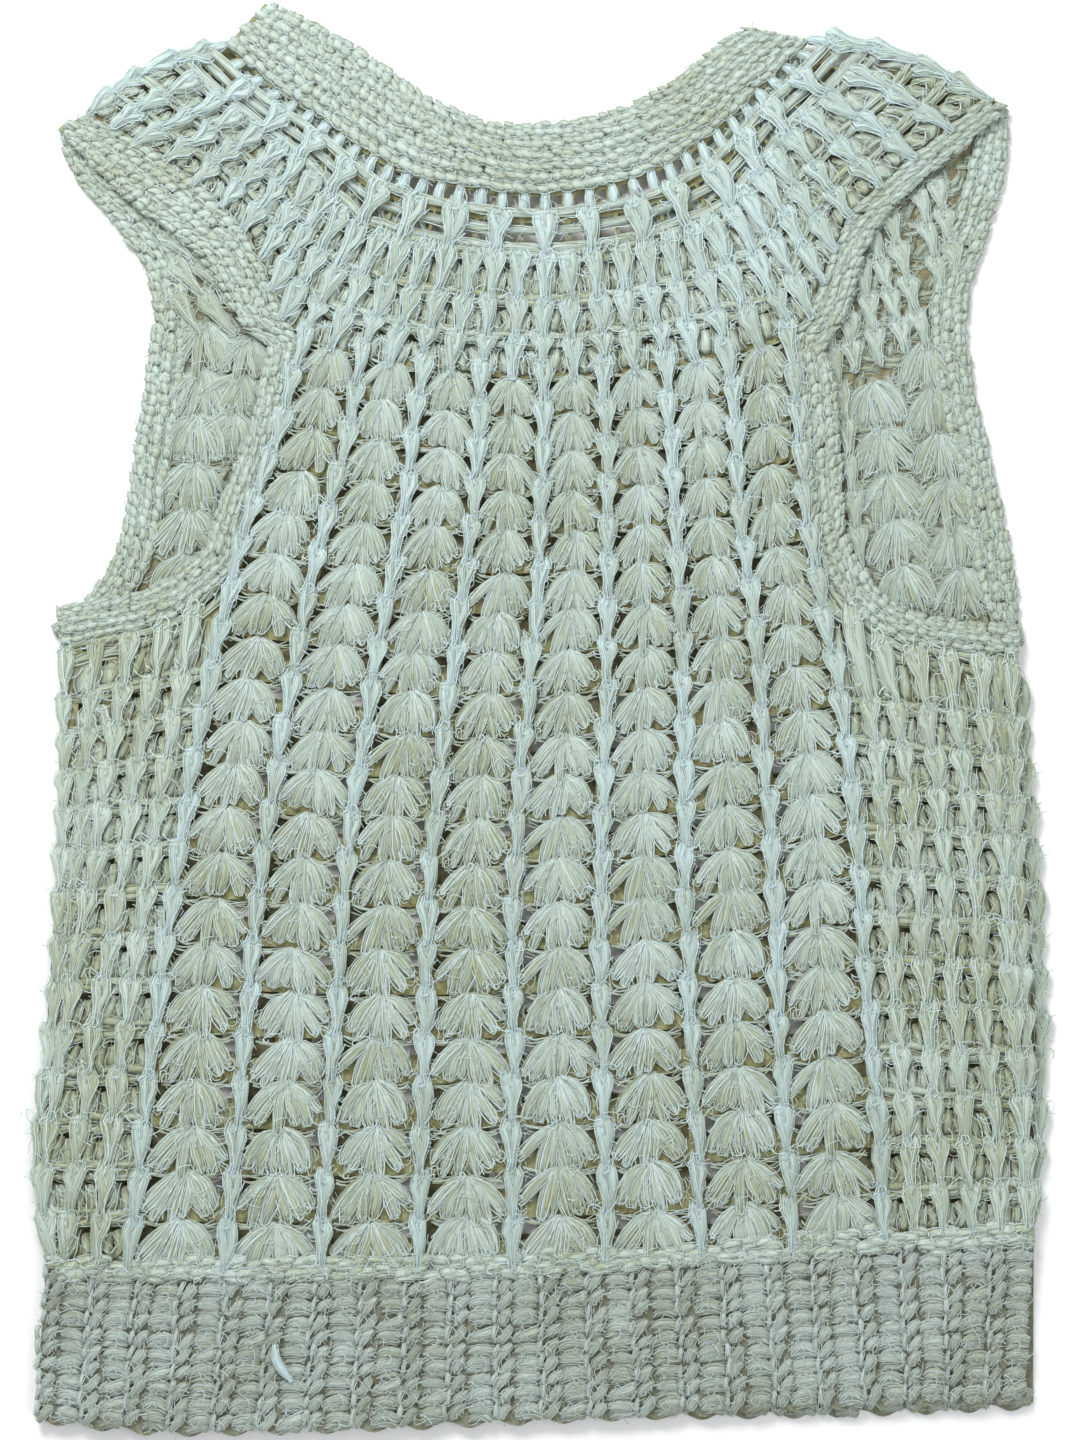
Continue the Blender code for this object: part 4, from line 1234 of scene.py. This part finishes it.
heap = Heap()
columns = np.arange(YOKE_FIRST, YOKE_LAST, 1.0)
for row in (-4.0, -3.55, -3.1):
    left = yoke_place(columns, np.full(len(columns), row))
    right = yoke_place(columns + 1, np.full(len(columns), row))
    lift = -0.5 if row == -3.55 else 0.2
    scatter(heap, BARS, BAR_SIZE, bar_cells(left, right, 4.4, UPPER_CLOTH + lift), 0.1)
halves = np.arange(YOKE_FIRST, YOKE_LAST, 0.5)
cells = filling_cells(on_yoke, halves, 0.5, np.array([-3.0, -2.0, -1.0, 0.0]) - 0.05, UPPER_CLOTH)
scatter(heap, FILLINGS, FILL_SIZE, cells)
for columns, first in (
    (range(-LEFT_SIDE_COLUMNS, 0), LEFT_SIDE_ROW),
    (range(MAIN_COLUMNS, MAIN_COLUMNS + RIGHT_SIDE_COLUMNS), RIGHT_SIDE_ROW),
):
    cells = filling_cells(on_side, columns, 1, side_rows(first), UPPER_CLOTH - SIDE_FILL_DROP)
    scatter(heap, FILLINGS, FILL_SIZE, jittered(cells, 0.3), -0.15)
back_bars = heap.piece("back_bars", SHELL_YARN)

# %% [markdown]
# ## The neck and armhole bands
#
# Rows of single crochet go round the edges. A band has its own small map: a part along the seam and a
# part across to the free edge. Each band is a thin backing with packed rows of small knots on it.

# %% Tables of the bands
Neck = namedtuple("Neck", "station edge_x edge_y seam_x seam_y")
UNDER_NECK = rows_of(
    Neck,
    (0, -108.0, 276.9, -120.1, 262.1), (1, -83.9, 245.7, -105.3, 230.9),
    (2, -54.6, 210.6, -74.5, 194.2), (3, -37.1, 184.1, -57.7, 168.9), (4, -23.4, 167.7, -37.4, 146.3),
    (5, 2.0, 162.6, 2.0, 136.9), (6, 23.4, 166.9, 39.0, 146.3), (7, 42.9, 195.0, 63.2, 179.4),
    (8, 72.2, 230.1, 93.6, 215.7), (9, 86.6, 262.1, 106.1, 256.6),
)
Arm = namedtuple("Arm", "station x y width")
UNDER_LEFT_ARM = rows_of(
    Arm,
    (0, -176.3, 235.6, 11.0), (1, -169.7, 219.2, 12.5), (2, -154.8, 202.8, 12.9),
    (3, -142.4, 184.1, 12.9), (4, -136.9, 164.6, 12.9), (5, -138.1, 143.5, 12.9),
    (6, -140.4, 123.6, 12.9), (7, -143.9, 103.7, 12.9), (8, -147.0, 83.9, 12.9),
    (9, -152.1, 60.5, 12.9), (10, -166.9, 39.0, 12.0), (11, -184.9, 26.5, 10.5),
)
UNDER_RIGHT_ARM = rows_of(
    Arm,
    (0, 171.6, 240.6, 10.0), (1, 168.1, 220.4, 12.9), (2, 164.6, 205.9, 12.9), (3, 159.9, 191.1, 12.9),
    (4, 154.4, 173.6, 12.9), (5, 152.1, 152.1, 12.9), (6, 156.4, 122.9, 12.9), (7, 161.1, 103.0, 12.9),
    (8, 165.4, 83.1, 12.9), (9, 169.3, 65.1, 12.9), (10, 173.2, 44.5, 12.5), (11, 184.5, 27.0, 4.5),
)
Width = namedtuple("Width", "station width")
LEFT_BAND_WIDTHS = rows_of(
    Width,
    (-5, 12.5), (-4, 19.0), (-2, 19.0), (0, 13.5), (2, 10.4), (4, 10.8), (6, 12.8), (10, 13.3),
)
RIGHT_BAND_WIDTHS = rows_of(
    Width,
    (-4, 9.0), (-3, 8.5), (-2, 10.5), (0, 13.0), (4, 13.5), (6, 12.5), (12, 10.0),
)
print("bands to make: 6")


# %% Lines of the bands
BAND_STEPS = 121
NORMAL_EASINGS = 3


def half_steps(first, last):
    return np.arange(2 * first, 2 * last + 1) / 2


def sideways(line):
    """The unit direction to the left of each point of a line, eased from point to point."""
    forward = unit(np.gradient(line, axis=0))
    left = np.stack([-forward[:, 1], forward[:, 0]], axis=-1)
    for _ in range(NORMAL_EASINGS):
        left[1:-1] = (left[:-2] + 2 * left[1:-1] + left[2:]) / 4
    return unit(left)


def back_armhole(left):
    """The seam of a back armhole: over the shoulder, down the side and under the arm."""
    main = 0 if left else MAIN_COLUMNS
    outward = -1 if left else 1
    over = -YOKE_FIRST if left else YOKE_LAST - MAIN_COLUMNS
    under = LEFT_SIDE_COLUMNS if left else RIGHT_SIDE_COLUMNS
    out = half_steps(0, over)[::-1]
    shoulder = [yoke_place(main + outward * step, 0) for step in out]
    side = [body_place(main, row) for row in (1, 2, 3, 4, 5, ARMHOLE_ROW)]
    steps = half_steps(0, under)[1:]
    below = [underarm_place(main + outward * step) for step in steps]
    stations = np.concatenate([-out, (1, 2, 3, 4, 5, ARMHOLE_ROW), ARMHOLE_ROW + steps])
    return stations, np.array(shoulder + side + below)


def band_map(seam, edge):
    """A place for any part along and any part across a band."""
    steps = np.linspace(0, 1, BAND_STEPS)
    seam, edge = resampled(seam, BAND_STEPS), resampled(edge, BAND_STEPS)

    def place(along, across):
        start = np.stack([np.interp(along, steps, seam[:, k]) for k in (0, 1)], axis=-1)
        end = np.stack([np.interp(along, steps, edge[:, k]) for k in (0, 1)], axis=-1)
        return between(start, end, across)

    length = np.linalg.norm(np.diff((seam + edge) / 2, axis=0), axis=1).sum()
    return place, length


def neck_line(table, stations):
    return (spot(table, stations, "seam_x", "seam_y"), spot(table, stations, "edge_x", "edge_y"))


def arm_lines(seam, widths, side, first=None):
    out = sideways(seam) * side
    if first is not None:
        out[0] = first
    return seam + out * 0.3, seam + out * (0.3 + widths[:, None])


Band = namedtuple("Band", "name lines rows base slot")
bands = [
    Band("neck_band_back", neck_line(YOKE, half_steps(YOKE_FIRST, YOKE_LAST)), 6, UPPER_BASE, "back_bands"),
    Band("neck_band_front", neck_line(UNDER_NECK, half_steps(0, 9)), 5, 0, "front_bands"),
]
for side_name, side, widths, arm in (
    ("left", -1, LEFT_BAND_WIDTHS, UNDER_LEFT_ARM),
    ("right", 1, RIGHT_BAND_WIDTHS, UNDER_RIGHT_ARM),
):
    left = side_name == "left"
    stations, seam = back_armhole(left)
    shoulder = YOKE_FIRST if left else YOKE_LAST
    fold = unit(yoke_place(shoulder, 0) - yoke_place(shoulder, -5))
    lines = arm_lines(seam, smooth(widths, "width", stations), side, fold)
    rows = 4 if left else 3
    bands.append(Band(f"armhole_band_{side_name}_back", lines, rows, UPPER_BASE, "back_bands"))
    at = half_steps(0, len(arm) - 1)
    lines = arm_lines(spot(arm, at), smooth(arm, "width", at), side)
    bands.append(Band(f"armhole_band_{side_name}_front", lines, 3, 0, "front_bands"))
print("bands:", [band.name for band in bands])


# %% Make each band's backing and stitches
SINGLE_PITCH = 4.1
HIDDEN_PITCH = 8.0
BAND_CROWN = 0.5


def make_band(band):
    """The thin strip and the rows of single crochet of one band."""
    place, length = band_map(*band.lines)
    steps = np.linspace(0, 1, BAND_STEPS)
    groups = backing_rows(place, steps)
    upper_layer = band.base > 0
    height = UPPER_CLOTH if upper_layer else UNDER_CLOTH
    cloth = backing(band.name + "_cloth", groups, BAND_BACKING, height)
    heap = Heap()
    pitch = HIDDEN_PITCH if band.name == "neck_band_front" else SINGLE_PITCH
    cells = strip_cells(place, length, band.rows, pitch, height - 0.1, BAND_CROWN)
    scatter(heap, SINGLES, SINGLE_SIZE, jittered(cells, 0.3))
    stitches = heap.piece(band.name + "_stitches", BAND_YARN)
    return cloth, stitches, length


band_pieces = {band.name: make_band(band) for band in bands}

# %% [markdown]
# ## The hem
#
# The rib was made sideways and joined to the body, so its rows stand upright. Its map runs from the
# panel's last row to the scalloped lower edge.

# %% The hem's map and stitches
RIBS = 22
RIB_STITCH_ROWS = 10
HEM_SCALLOP = 1.5
Hem = namedtuple("Hem", "across x y")
HEM_EDGE = rows_of(
    Hem,
    (0.0, -197.0, -273.0), (0.12, -152.0, -278.0), (0.25, -101.4, -277.7), (0.47, -11.7, -274.2),
    (0.85, 137.7, -267.2), (1.0, 189.5, -265.6),
)
UNDER_HEM_EDGE = rows_of(
    Hem,
    (0.0, -194.0, -273.0), (0.47, -11.7, -272.5), (0.85, 137.7, -270.7), (1.0, 192.7, -268.3),
)


def hem_map(top, edge_table):
    def place(across, down):
        across = np.asarray(across, float)
        x = top[0, 0] * (1 - across) + top[-1, 0] * across
        start = np.stack([x, np.interp(x, top[:, 0], top[:, 1]) - 0.3], axis=-1)
        foot = spot(edge_table, across)
        foot[..., 1] += HEM_SCALLOP * np.cos(2 * math.pi * across * RIBS)
        return between(start, foot, down)

    return place


def make_hem(name, place, height, rows, first_row):
    steps = np.linspace(0, 1, 8 * RIBS + 1)
    groups = backing_rows(place, steps)
    cloth = backing(name + "_cloth", groups, RIB_BACKING, height)
    heap = Heap()
    columns, rows_down = (
        a.ravel() for a in np.meshgrid(np.arange(RIBS), np.arange(first_row, rows))
    )
    left, right = columns / RIBS, (columns + 1) / RIBS
    top, bottom = rows_down / rows, (rows_down + 1) / rows
    cells = Cells(
        place(left, top), place(right, top), place(left, bottom), place(right, bottom),
        np.full(len(columns), height - 0.1),
    )
    scatter(heap, RIB_STITCHES, RIB_SIZE, jittered(cells, 0.35))
    return cloth, heap.piece(name + "_stitches", RIB_YARN)


top_columns = np.arange(-LEFT_SIDE_COLUMNS, MAIN_COLUMNS + RIGHT_SIDE_COLUMNS + 0.5, 0.5)
hem_top = np.array(
    [
        body_place(c, BODY_ROWS) if 0 <= c <= MAIN_COLUMNS else side_place(c, BODY_ROWS)
        for c in top_columns
    ]
)
back_hem = make_hem("hem_rib_back", hem_map(hem_top, HEM_EDGE), UPPER_CLOTH, RIB_STITCH_ROWS, 0)
SEAM_ABOVE, SEAM_BELOW, SEAM_PITCH = 3.6, 5.0, 6.0


def seam_place(across, down):
    """On the row of single crochet that joins the body to its rib."""
    x = hem_top[0, 0] * (1 - across) + hem_top[-1, 0] * across
    middle = np.interp(x, hem_top[:, 0], hem_top[:, 1])
    return np.stack([x, middle + SEAM_ABOVE - (SEAM_ABOVE + SEAM_BELOW) * down], axis=-1)


heap = Heap()
seam_length = hem_top[-1, 0] - hem_top[0, 0]
seam_cells = strip_cells(seam_place, seam_length, 2, SEAM_PITCH, UPPER_CLOTH + 0.9, 0.2)
scatter(heap, SINGLES, SINGLE_SIZE, jittered(seam_cells, 0.8), 0.05)
seam_row = heap.piece("hem_seam_row", SHELL_YARN)
UNDER_FOLD_INSET = np.array([1.0, 0])
under_top = np.array(
    [spot(LEFT_FOLD, BODY_ROWS) + UNDER_FOLD_INSET]
    + [body_place(c, BODY_ROWS) for c in range(MAIN_COLUMNS + 1)]
    + [spot(UNDER_RIGHT_FOLD, BODY_ROWS)]
)
front_hem = make_hem("hem_rib_front", hem_map(under_top, UNDER_HEM_EDGE), UNDER_CLOTH, RIB_STITCH_ROWS, 9)

# %% [markdown]
# ## The front, underneath
#
# The front shows in the armholes and as dim cloth through the back's gaps. Its backing follows the
# same outline as its solid, with its own gaps, and only what shows gets stitches.

# %% The front's backing, from a copy of its solid
def copy_of_solid(node, name, material, low, high):
    """A copy of a solid, merged and pressed between two heights."""
    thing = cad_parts[node].copy()
    thing.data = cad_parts[node].data.copy()
    thing.name = name
    thing.parent = None
    for key in list(thing.keys()):
        del thing[key]
    bpy.context.scene.collection.objects.link(thing)
    start_clean()
    thing.select_set(True)
    bpy.context.view_layer.objects.active = thing
    bpy.ops.object.mode_set(mode="EDIT")
    bpy.ops.mesh.select_all(action="SELECT")
    bpy.ops.mesh.remove_doubles(threshold=0.00001)
    bpy.ops.object.mode_set(mode="OBJECT")
    heights = np.array([vertex.co.z for vertex in thing.data.vertices])
    middle = (heights.min() + heights.max()) / 2
    for vertex in thing.data.vertices:
        vertex.co.z = (high if vertex.co.z > middle else low) * MM
    thing.data.materials.clear()
    thing.data.materials.append(material)
    print(name, "has", len(thing.data.polygons), "faces")
    return thing


# The front's backing has the under_backing colours, painted shade for where it lies under the back.
front_cloth = copy_of_solid("front_panel", "front_cloth", UNDER_BACKING, 0.1, UNDER_CLOTH)

# %% The front's stitches that show in the armholes
ShellColumn = namedtuple("ShellColumn", "first_x first_y last_x last_y count wide")
UNDER_SHELLS = rows_of(
    ShellColumn,
    (-130.5, 156.0, -139.5, 47.0, 6, 23.0), (-113.0, 150.0, -122.0, 106.0, 3, 23.0),
    (130.0, 132.5, 145.0, 43.0, 5, 22.0), (150.5, 148.0, 167.0, 42.0, 6, 22.0),
)
UNDER_STRIP_INSETS = (1.6, 8.2)
Gap = namedtuple("Gap", "left_x right_x y")
LEFT_GAP = rows_of(
    Gap,
    (-147.0, -134.0, 191.0), (-142.5, -121.5, 171.6), (-140.5, -106.0, 152.1), (-142.0, -101.0, 124.8),
    (-146.0, -106.0, 101.4), (-149.0, -114.5, 78.0), (-152.0, -133.0, 54.0),
)
RIGHT_GAP = rows_of(
    Gap,
    (152.0, 175.0, 221.0), (143.0, 174.0, 213.0), (127.0, 164.5, 191.1), (117.5, 158.5, 173.6),
    (113.5, 157.0, 152.1), (113.5, 161.0, 126.8), (116.5, 168.5, 96.7), (124.0, 172.5, 68.3),
    (138.0, 178.5, 42.0), (150.0, 181.0, 35.0),
)
UnderPost = namedtuple("UnderPost", "top_x top_y foot_x foot_y links")
UNDER_POSTS = rows_of(
    UnderPost,
    (148.0, 208.0, 157.5, 168.0, 3), (135.5, 200.0, 151.0, 147.0, 4), (129.5, 192.0, 143.0, 145.0, 4),
    (125.0, 180.0, 132.5, 140.0, 3), (118.5, 171.0, 123.0, 137.0, 3), (155.0, 212.0, 163.0, 175.0, 3),
    (111.0, 160.0, 119.0, 118.0, 3), (119.0, 118.0, 125.0, 62.0, 4), (-148.0, 192.0, -111.0, 156.0, 3),
    (-145.0, 181.0, -121.0, 153.0, 2), (-143.5, 169.0, -134.0, 152.0, 1),
)
heap = Heap()


def gap_place(gap):
    """A map of what shows of the front inside one armhole, from side to side and from the top down."""
    rows = np.array([line.y for line in gap])
    sides = [np.array([getattr(line, side) for line in gap]) for side in ("left_x", "right_x")]

    def place(across, down):
        y = rows[0] + (rows[-1] - rows[0]) * np.asarray(down, float)
        left, right = (np.interp(-y, -rows, side) for side in sides)
        return np.stack([left * (1 - across) + right * across, y], axis=-1)

    return place


for gap, columns, rows in ((LEFT_GAP, 4, 11), (RIGHT_GAP, 5, 14)):
    place = gap_place(gap)

    def step_place(column, row):
        return place(column / columns, row / rows)

    cells = grid_cells(step_place, range(columns), range(rows), UNDER_CLOTH - 0.5)
    # A pale shift of -0.4 makes these fillings darker, painted shade for the armhole's depths under the
    # back.
    scatter(heap, FILLINGS, FILL_SIZE, jittered(cells, 0.6), -0.4, 0.8)
strip_rows = np.arange(8.0, BODY_ROWS + 0.5)
for inset in UNDER_STRIP_INSETS:
    line = spot(UNDER_RIGHT_FOLD, strip_rows) - (inset, 0)
    scatter(heap, LINKS, POST_SIZE, jittered(rope_cells(line, 12.0, UNDER_CLOTH - 0.4), 0.3), -0.1, 0.8)
for column in UNDER_SHELLS:
    line = between(np.array(column[0:2]), np.array(column[2:4]), np.linspace(0, 1, column.count + 1))
    scatter(heap, SHELLS, SHELL_SIZE, rope_cells(line, column.wide * 1.5, UNDER_CLOTH - 0.3), 0.0, 0.8)
for post in UNDER_POSTS:
    line = between(np.array(post[0:2]), np.array(post[2:4]), np.linspace(0, 1, post.links + 1))
    scatter(heap, LINKS, POST_SIZE, rope_cells(line, 13.5, UNDER_CLOTH - 0.3), 0.0, 0.8)
front_stitches = heap.piece("front_stitches", UNDER_YARN)

# %% [markdown]
# ## Loose fluff
#
# Fine hairs stand off the yarn everywhere and soften its outline. Each is a wisp a fraction of a
# millimetre thick. Real hair curves could be used, but a joined mesh renders alike in every tool.

# %% Scatter wisps over the posts, shells, bands and hem
WISP_HALF = 0.15


def make_wisp():
    """A curved hair a few millimetres long, lying mostly along the cloth."""
    turn = generator.uniform(0, 2 * math.pi)
    long = generator.uniform(2.5, 6.5)
    ahead = np.array([math.cos(turn), math.sin(turn), 0])
    curl = np.array([-ahead[1], ahead[0], 0]) * generator.normal(0, 1.1)
    rise = np.array([0, 0, 1.0])
    line = (
        -ahead * long / 2 + rise * 0.2,
        curl + rise * generator.uniform(0.5, 1.4),
        ahead * long / 2 + curl * 0.3 + rise * generator.uniform(0.2, 1.2),
    )
    return [hair(WISP, line, WISP_HALF)]


WISPS = [make_wisp() for _ in range(40)]


def point_cells(points, height):
    """A cell of one millimetre at each point, for a thing that isn't stretched."""
    right, down = np.array([1.0, 0]), np.array([0, -1.0])
    return Cells(points, points + right, points + down, points + right + down, height)


def random_on(place, columns, rows, count, height):
    column = generator.uniform(*columns, count)
    row = generator.uniform(*rows, count)
    return point_cells(place(column, row), generator.uniform(0.7, 1.1, count) * height)


heap = Heap()
groups = [
    random_on(body_place, (0, MAIN_COLUMNS), (0, BODY_ROWS), 900, UPPER_CLOTH + 2.2),
    random_on(yoke_place, (YOKE_FIRST, YOKE_LAST), (-5, 0), 350, UPPER_CLOTH + 2.2),
]
for band in bands:
    place, length = band_map(*band.lines)
    high = (UPPER_CLOTH if band.base else UNDER_CLOTH) + 1.0
    groups.append(random_on(place, (0, 1), (0.1, 1.03), int(length * 0.7), high))
groups.append(random_on(hem_map(hem_top, HEM_EDGE), (0, 1), (0, 1.02), 450, UPPER_CLOTH + 1.6))
scatter(heap, WISPS, (1.0, 1.0), together(groups))
LINT_PLACE = np.array([[-103.5, -243.5]])
LINT_PATH = ((0.0, 0.0, 1.2), (1.2, 7.0, 2.0), (7.0, 14.5, 1.2))
lint = bundle(LINT_PATH, (0.9, 2.3, 0.8), 0.6, 9, 1.0, loops=1)
lay(heap, lint, (1.0, 1.0), point_cells(LINT_PLACE, np.full(1, UPPER_CLOTH + 1.6)), 0.1)
fluff = heap.piece("fluff", POST_YARN)

# %% [markdown]
# ## Which piece stands for which solid
#
# Every piece moves with the one body. Each backing stands for its solid, whose own mesh is hidden,
# and the size each band was worked to is printed.

# %% Dress the frame
def dress(thing, slot, *nodes):
    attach(thing, "root")
    if nodes:
        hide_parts(*nodes)


def top_area(thing):
    """The area of a sheet's upper side, in square metres."""
    return sum(face.area for face in thing.data.polygons if face.normal.z > 0.5)


dress(back_cloth, "back_stitches", "back_panel")
for thing in (*shell_pieces, body_posts, side_posts, yoke_posts, back_bars, seam_row, fluff):
    dress(thing, "back_stitches")
dress(front_cloth, "front_stitches", "front_panel")
dress(front_stitches, "front_stitches")
dress(back_hem[0], "back_rib", "hem_rib_back")
dress(back_hem[1], "back_rib")
dress(front_hem[0], "front_rib", "hem_rib_front")
dress(front_hem[1], "front_rib")
for band in bands:
    cloth, stitches, length = band_pieces[band.name]
    dress(cloth, band.slot, band.name)
    dress(stitches, band.slot)

top_area(back_cloth)
top_area(front_cloth)
for band in bands:
    cloth, stitches, length = band_pieces[band.name]
    wide = top_area(cloth) / (length * MM)
    print(band.name, "was worked", round(length), "mm long and", round(wide / MM), "mm wide")

# %% [markdown]
# ## The floor, the light and the camera
#
# The photograph looks straight down on a pale ground in soft, even light. A broad lamp above the
# neck gives the stitches their relief, and a bright sky fills the hollows. The camera has a long lens, so
# that the flat cloth isn't distorted.

# %% Floor
PIXELS_HIGH, MM_A_PIXEL = 1440, 0.39
PHOTO_LONG = PIXELS_HIGH * MM_A_PIXEL
FLOOR_SIZE, FLOOR_DROP = 6, 0.0002
start_clean()
bpy.ops.mesh.primitive_plane_add(size=FLOOR_SIZE, location=(0, 0, -FLOOR_DROP))
floor = bpy.context.object
floor.name = "floor"
paper = bpy.data.materials.new("pale_floor")
paper.use_nodes = True
paper.node_tree.nodes["Principled BSDF"].inputs["Base Color"].default_value = (0.93, 0.93, 0.92, 1)
paper.node_tree.nodes["Principled BSDF"].inputs["Roughness"].default_value = 0.9
floor.data.materials.append(paper)
print("floor is", round(floor.dimensions.x, 1), "m wide")


# %% Lamps and sky
def add_lamp(name, place, size, watts):
    data = bpy.data.lights.new(name, "AREA")
    data.shape = "DISK"
    data.size = size
    data.energy = watts
    lamp = bpy.data.objects.new(name, data)
    lamp.location = place
    aim = -lamp.location
    lamp.rotation_mode = "QUATERNION"
    lamp.rotation_quaternion = aim.to_track_quat("-Z", "Y")
    bpy.context.scene.collection.objects.link(lamp)
    return lamp


add_lamp("key", (-0.5, 1.1, 1.1), 0.7, 26)
add_lamp("fill", (0.9, -0.5, 1.5), 1.2, 7)
sky = bpy.data.worlds.new("sky")
sky.use_nodes = True
sky.node_tree.nodes["Background"].inputs["Color"].default_value = (0.93, 0.97, 1.0, 1)
sky.node_tree.nodes["Background"].inputs["Strength"].default_value = 0.62
bpy.context.scene.world = sky
bpy.context.scene.view_settings.view_transform = "Standard"
print("lamps:", [thing.name for thing in bpy.data.objects if thing.type == "LIGHT"])

# %% Camera
CAMERA_HEIGHT = 2.2
SENSOR = 36.0
CLOTH_TOP = 0.006
camera_data = bpy.data.cameras.new("camera")
camera_data.sensor_width = SENSOR
camera_data.lens = SENSOR * (CAMERA_HEIGHT - CLOTH_TOP) / (PHOTO_LONG * MM)
camera = bpy.data.objects.new("camera", camera_data)
camera.location = (0.15 * MM, 0.144 * MM, CAMERA_HEIGHT)
bpy.context.scene.collection.objects.link(camera)
bpy.context.scene.camera = camera
print("lens:", round(camera_data.lens), "mm")
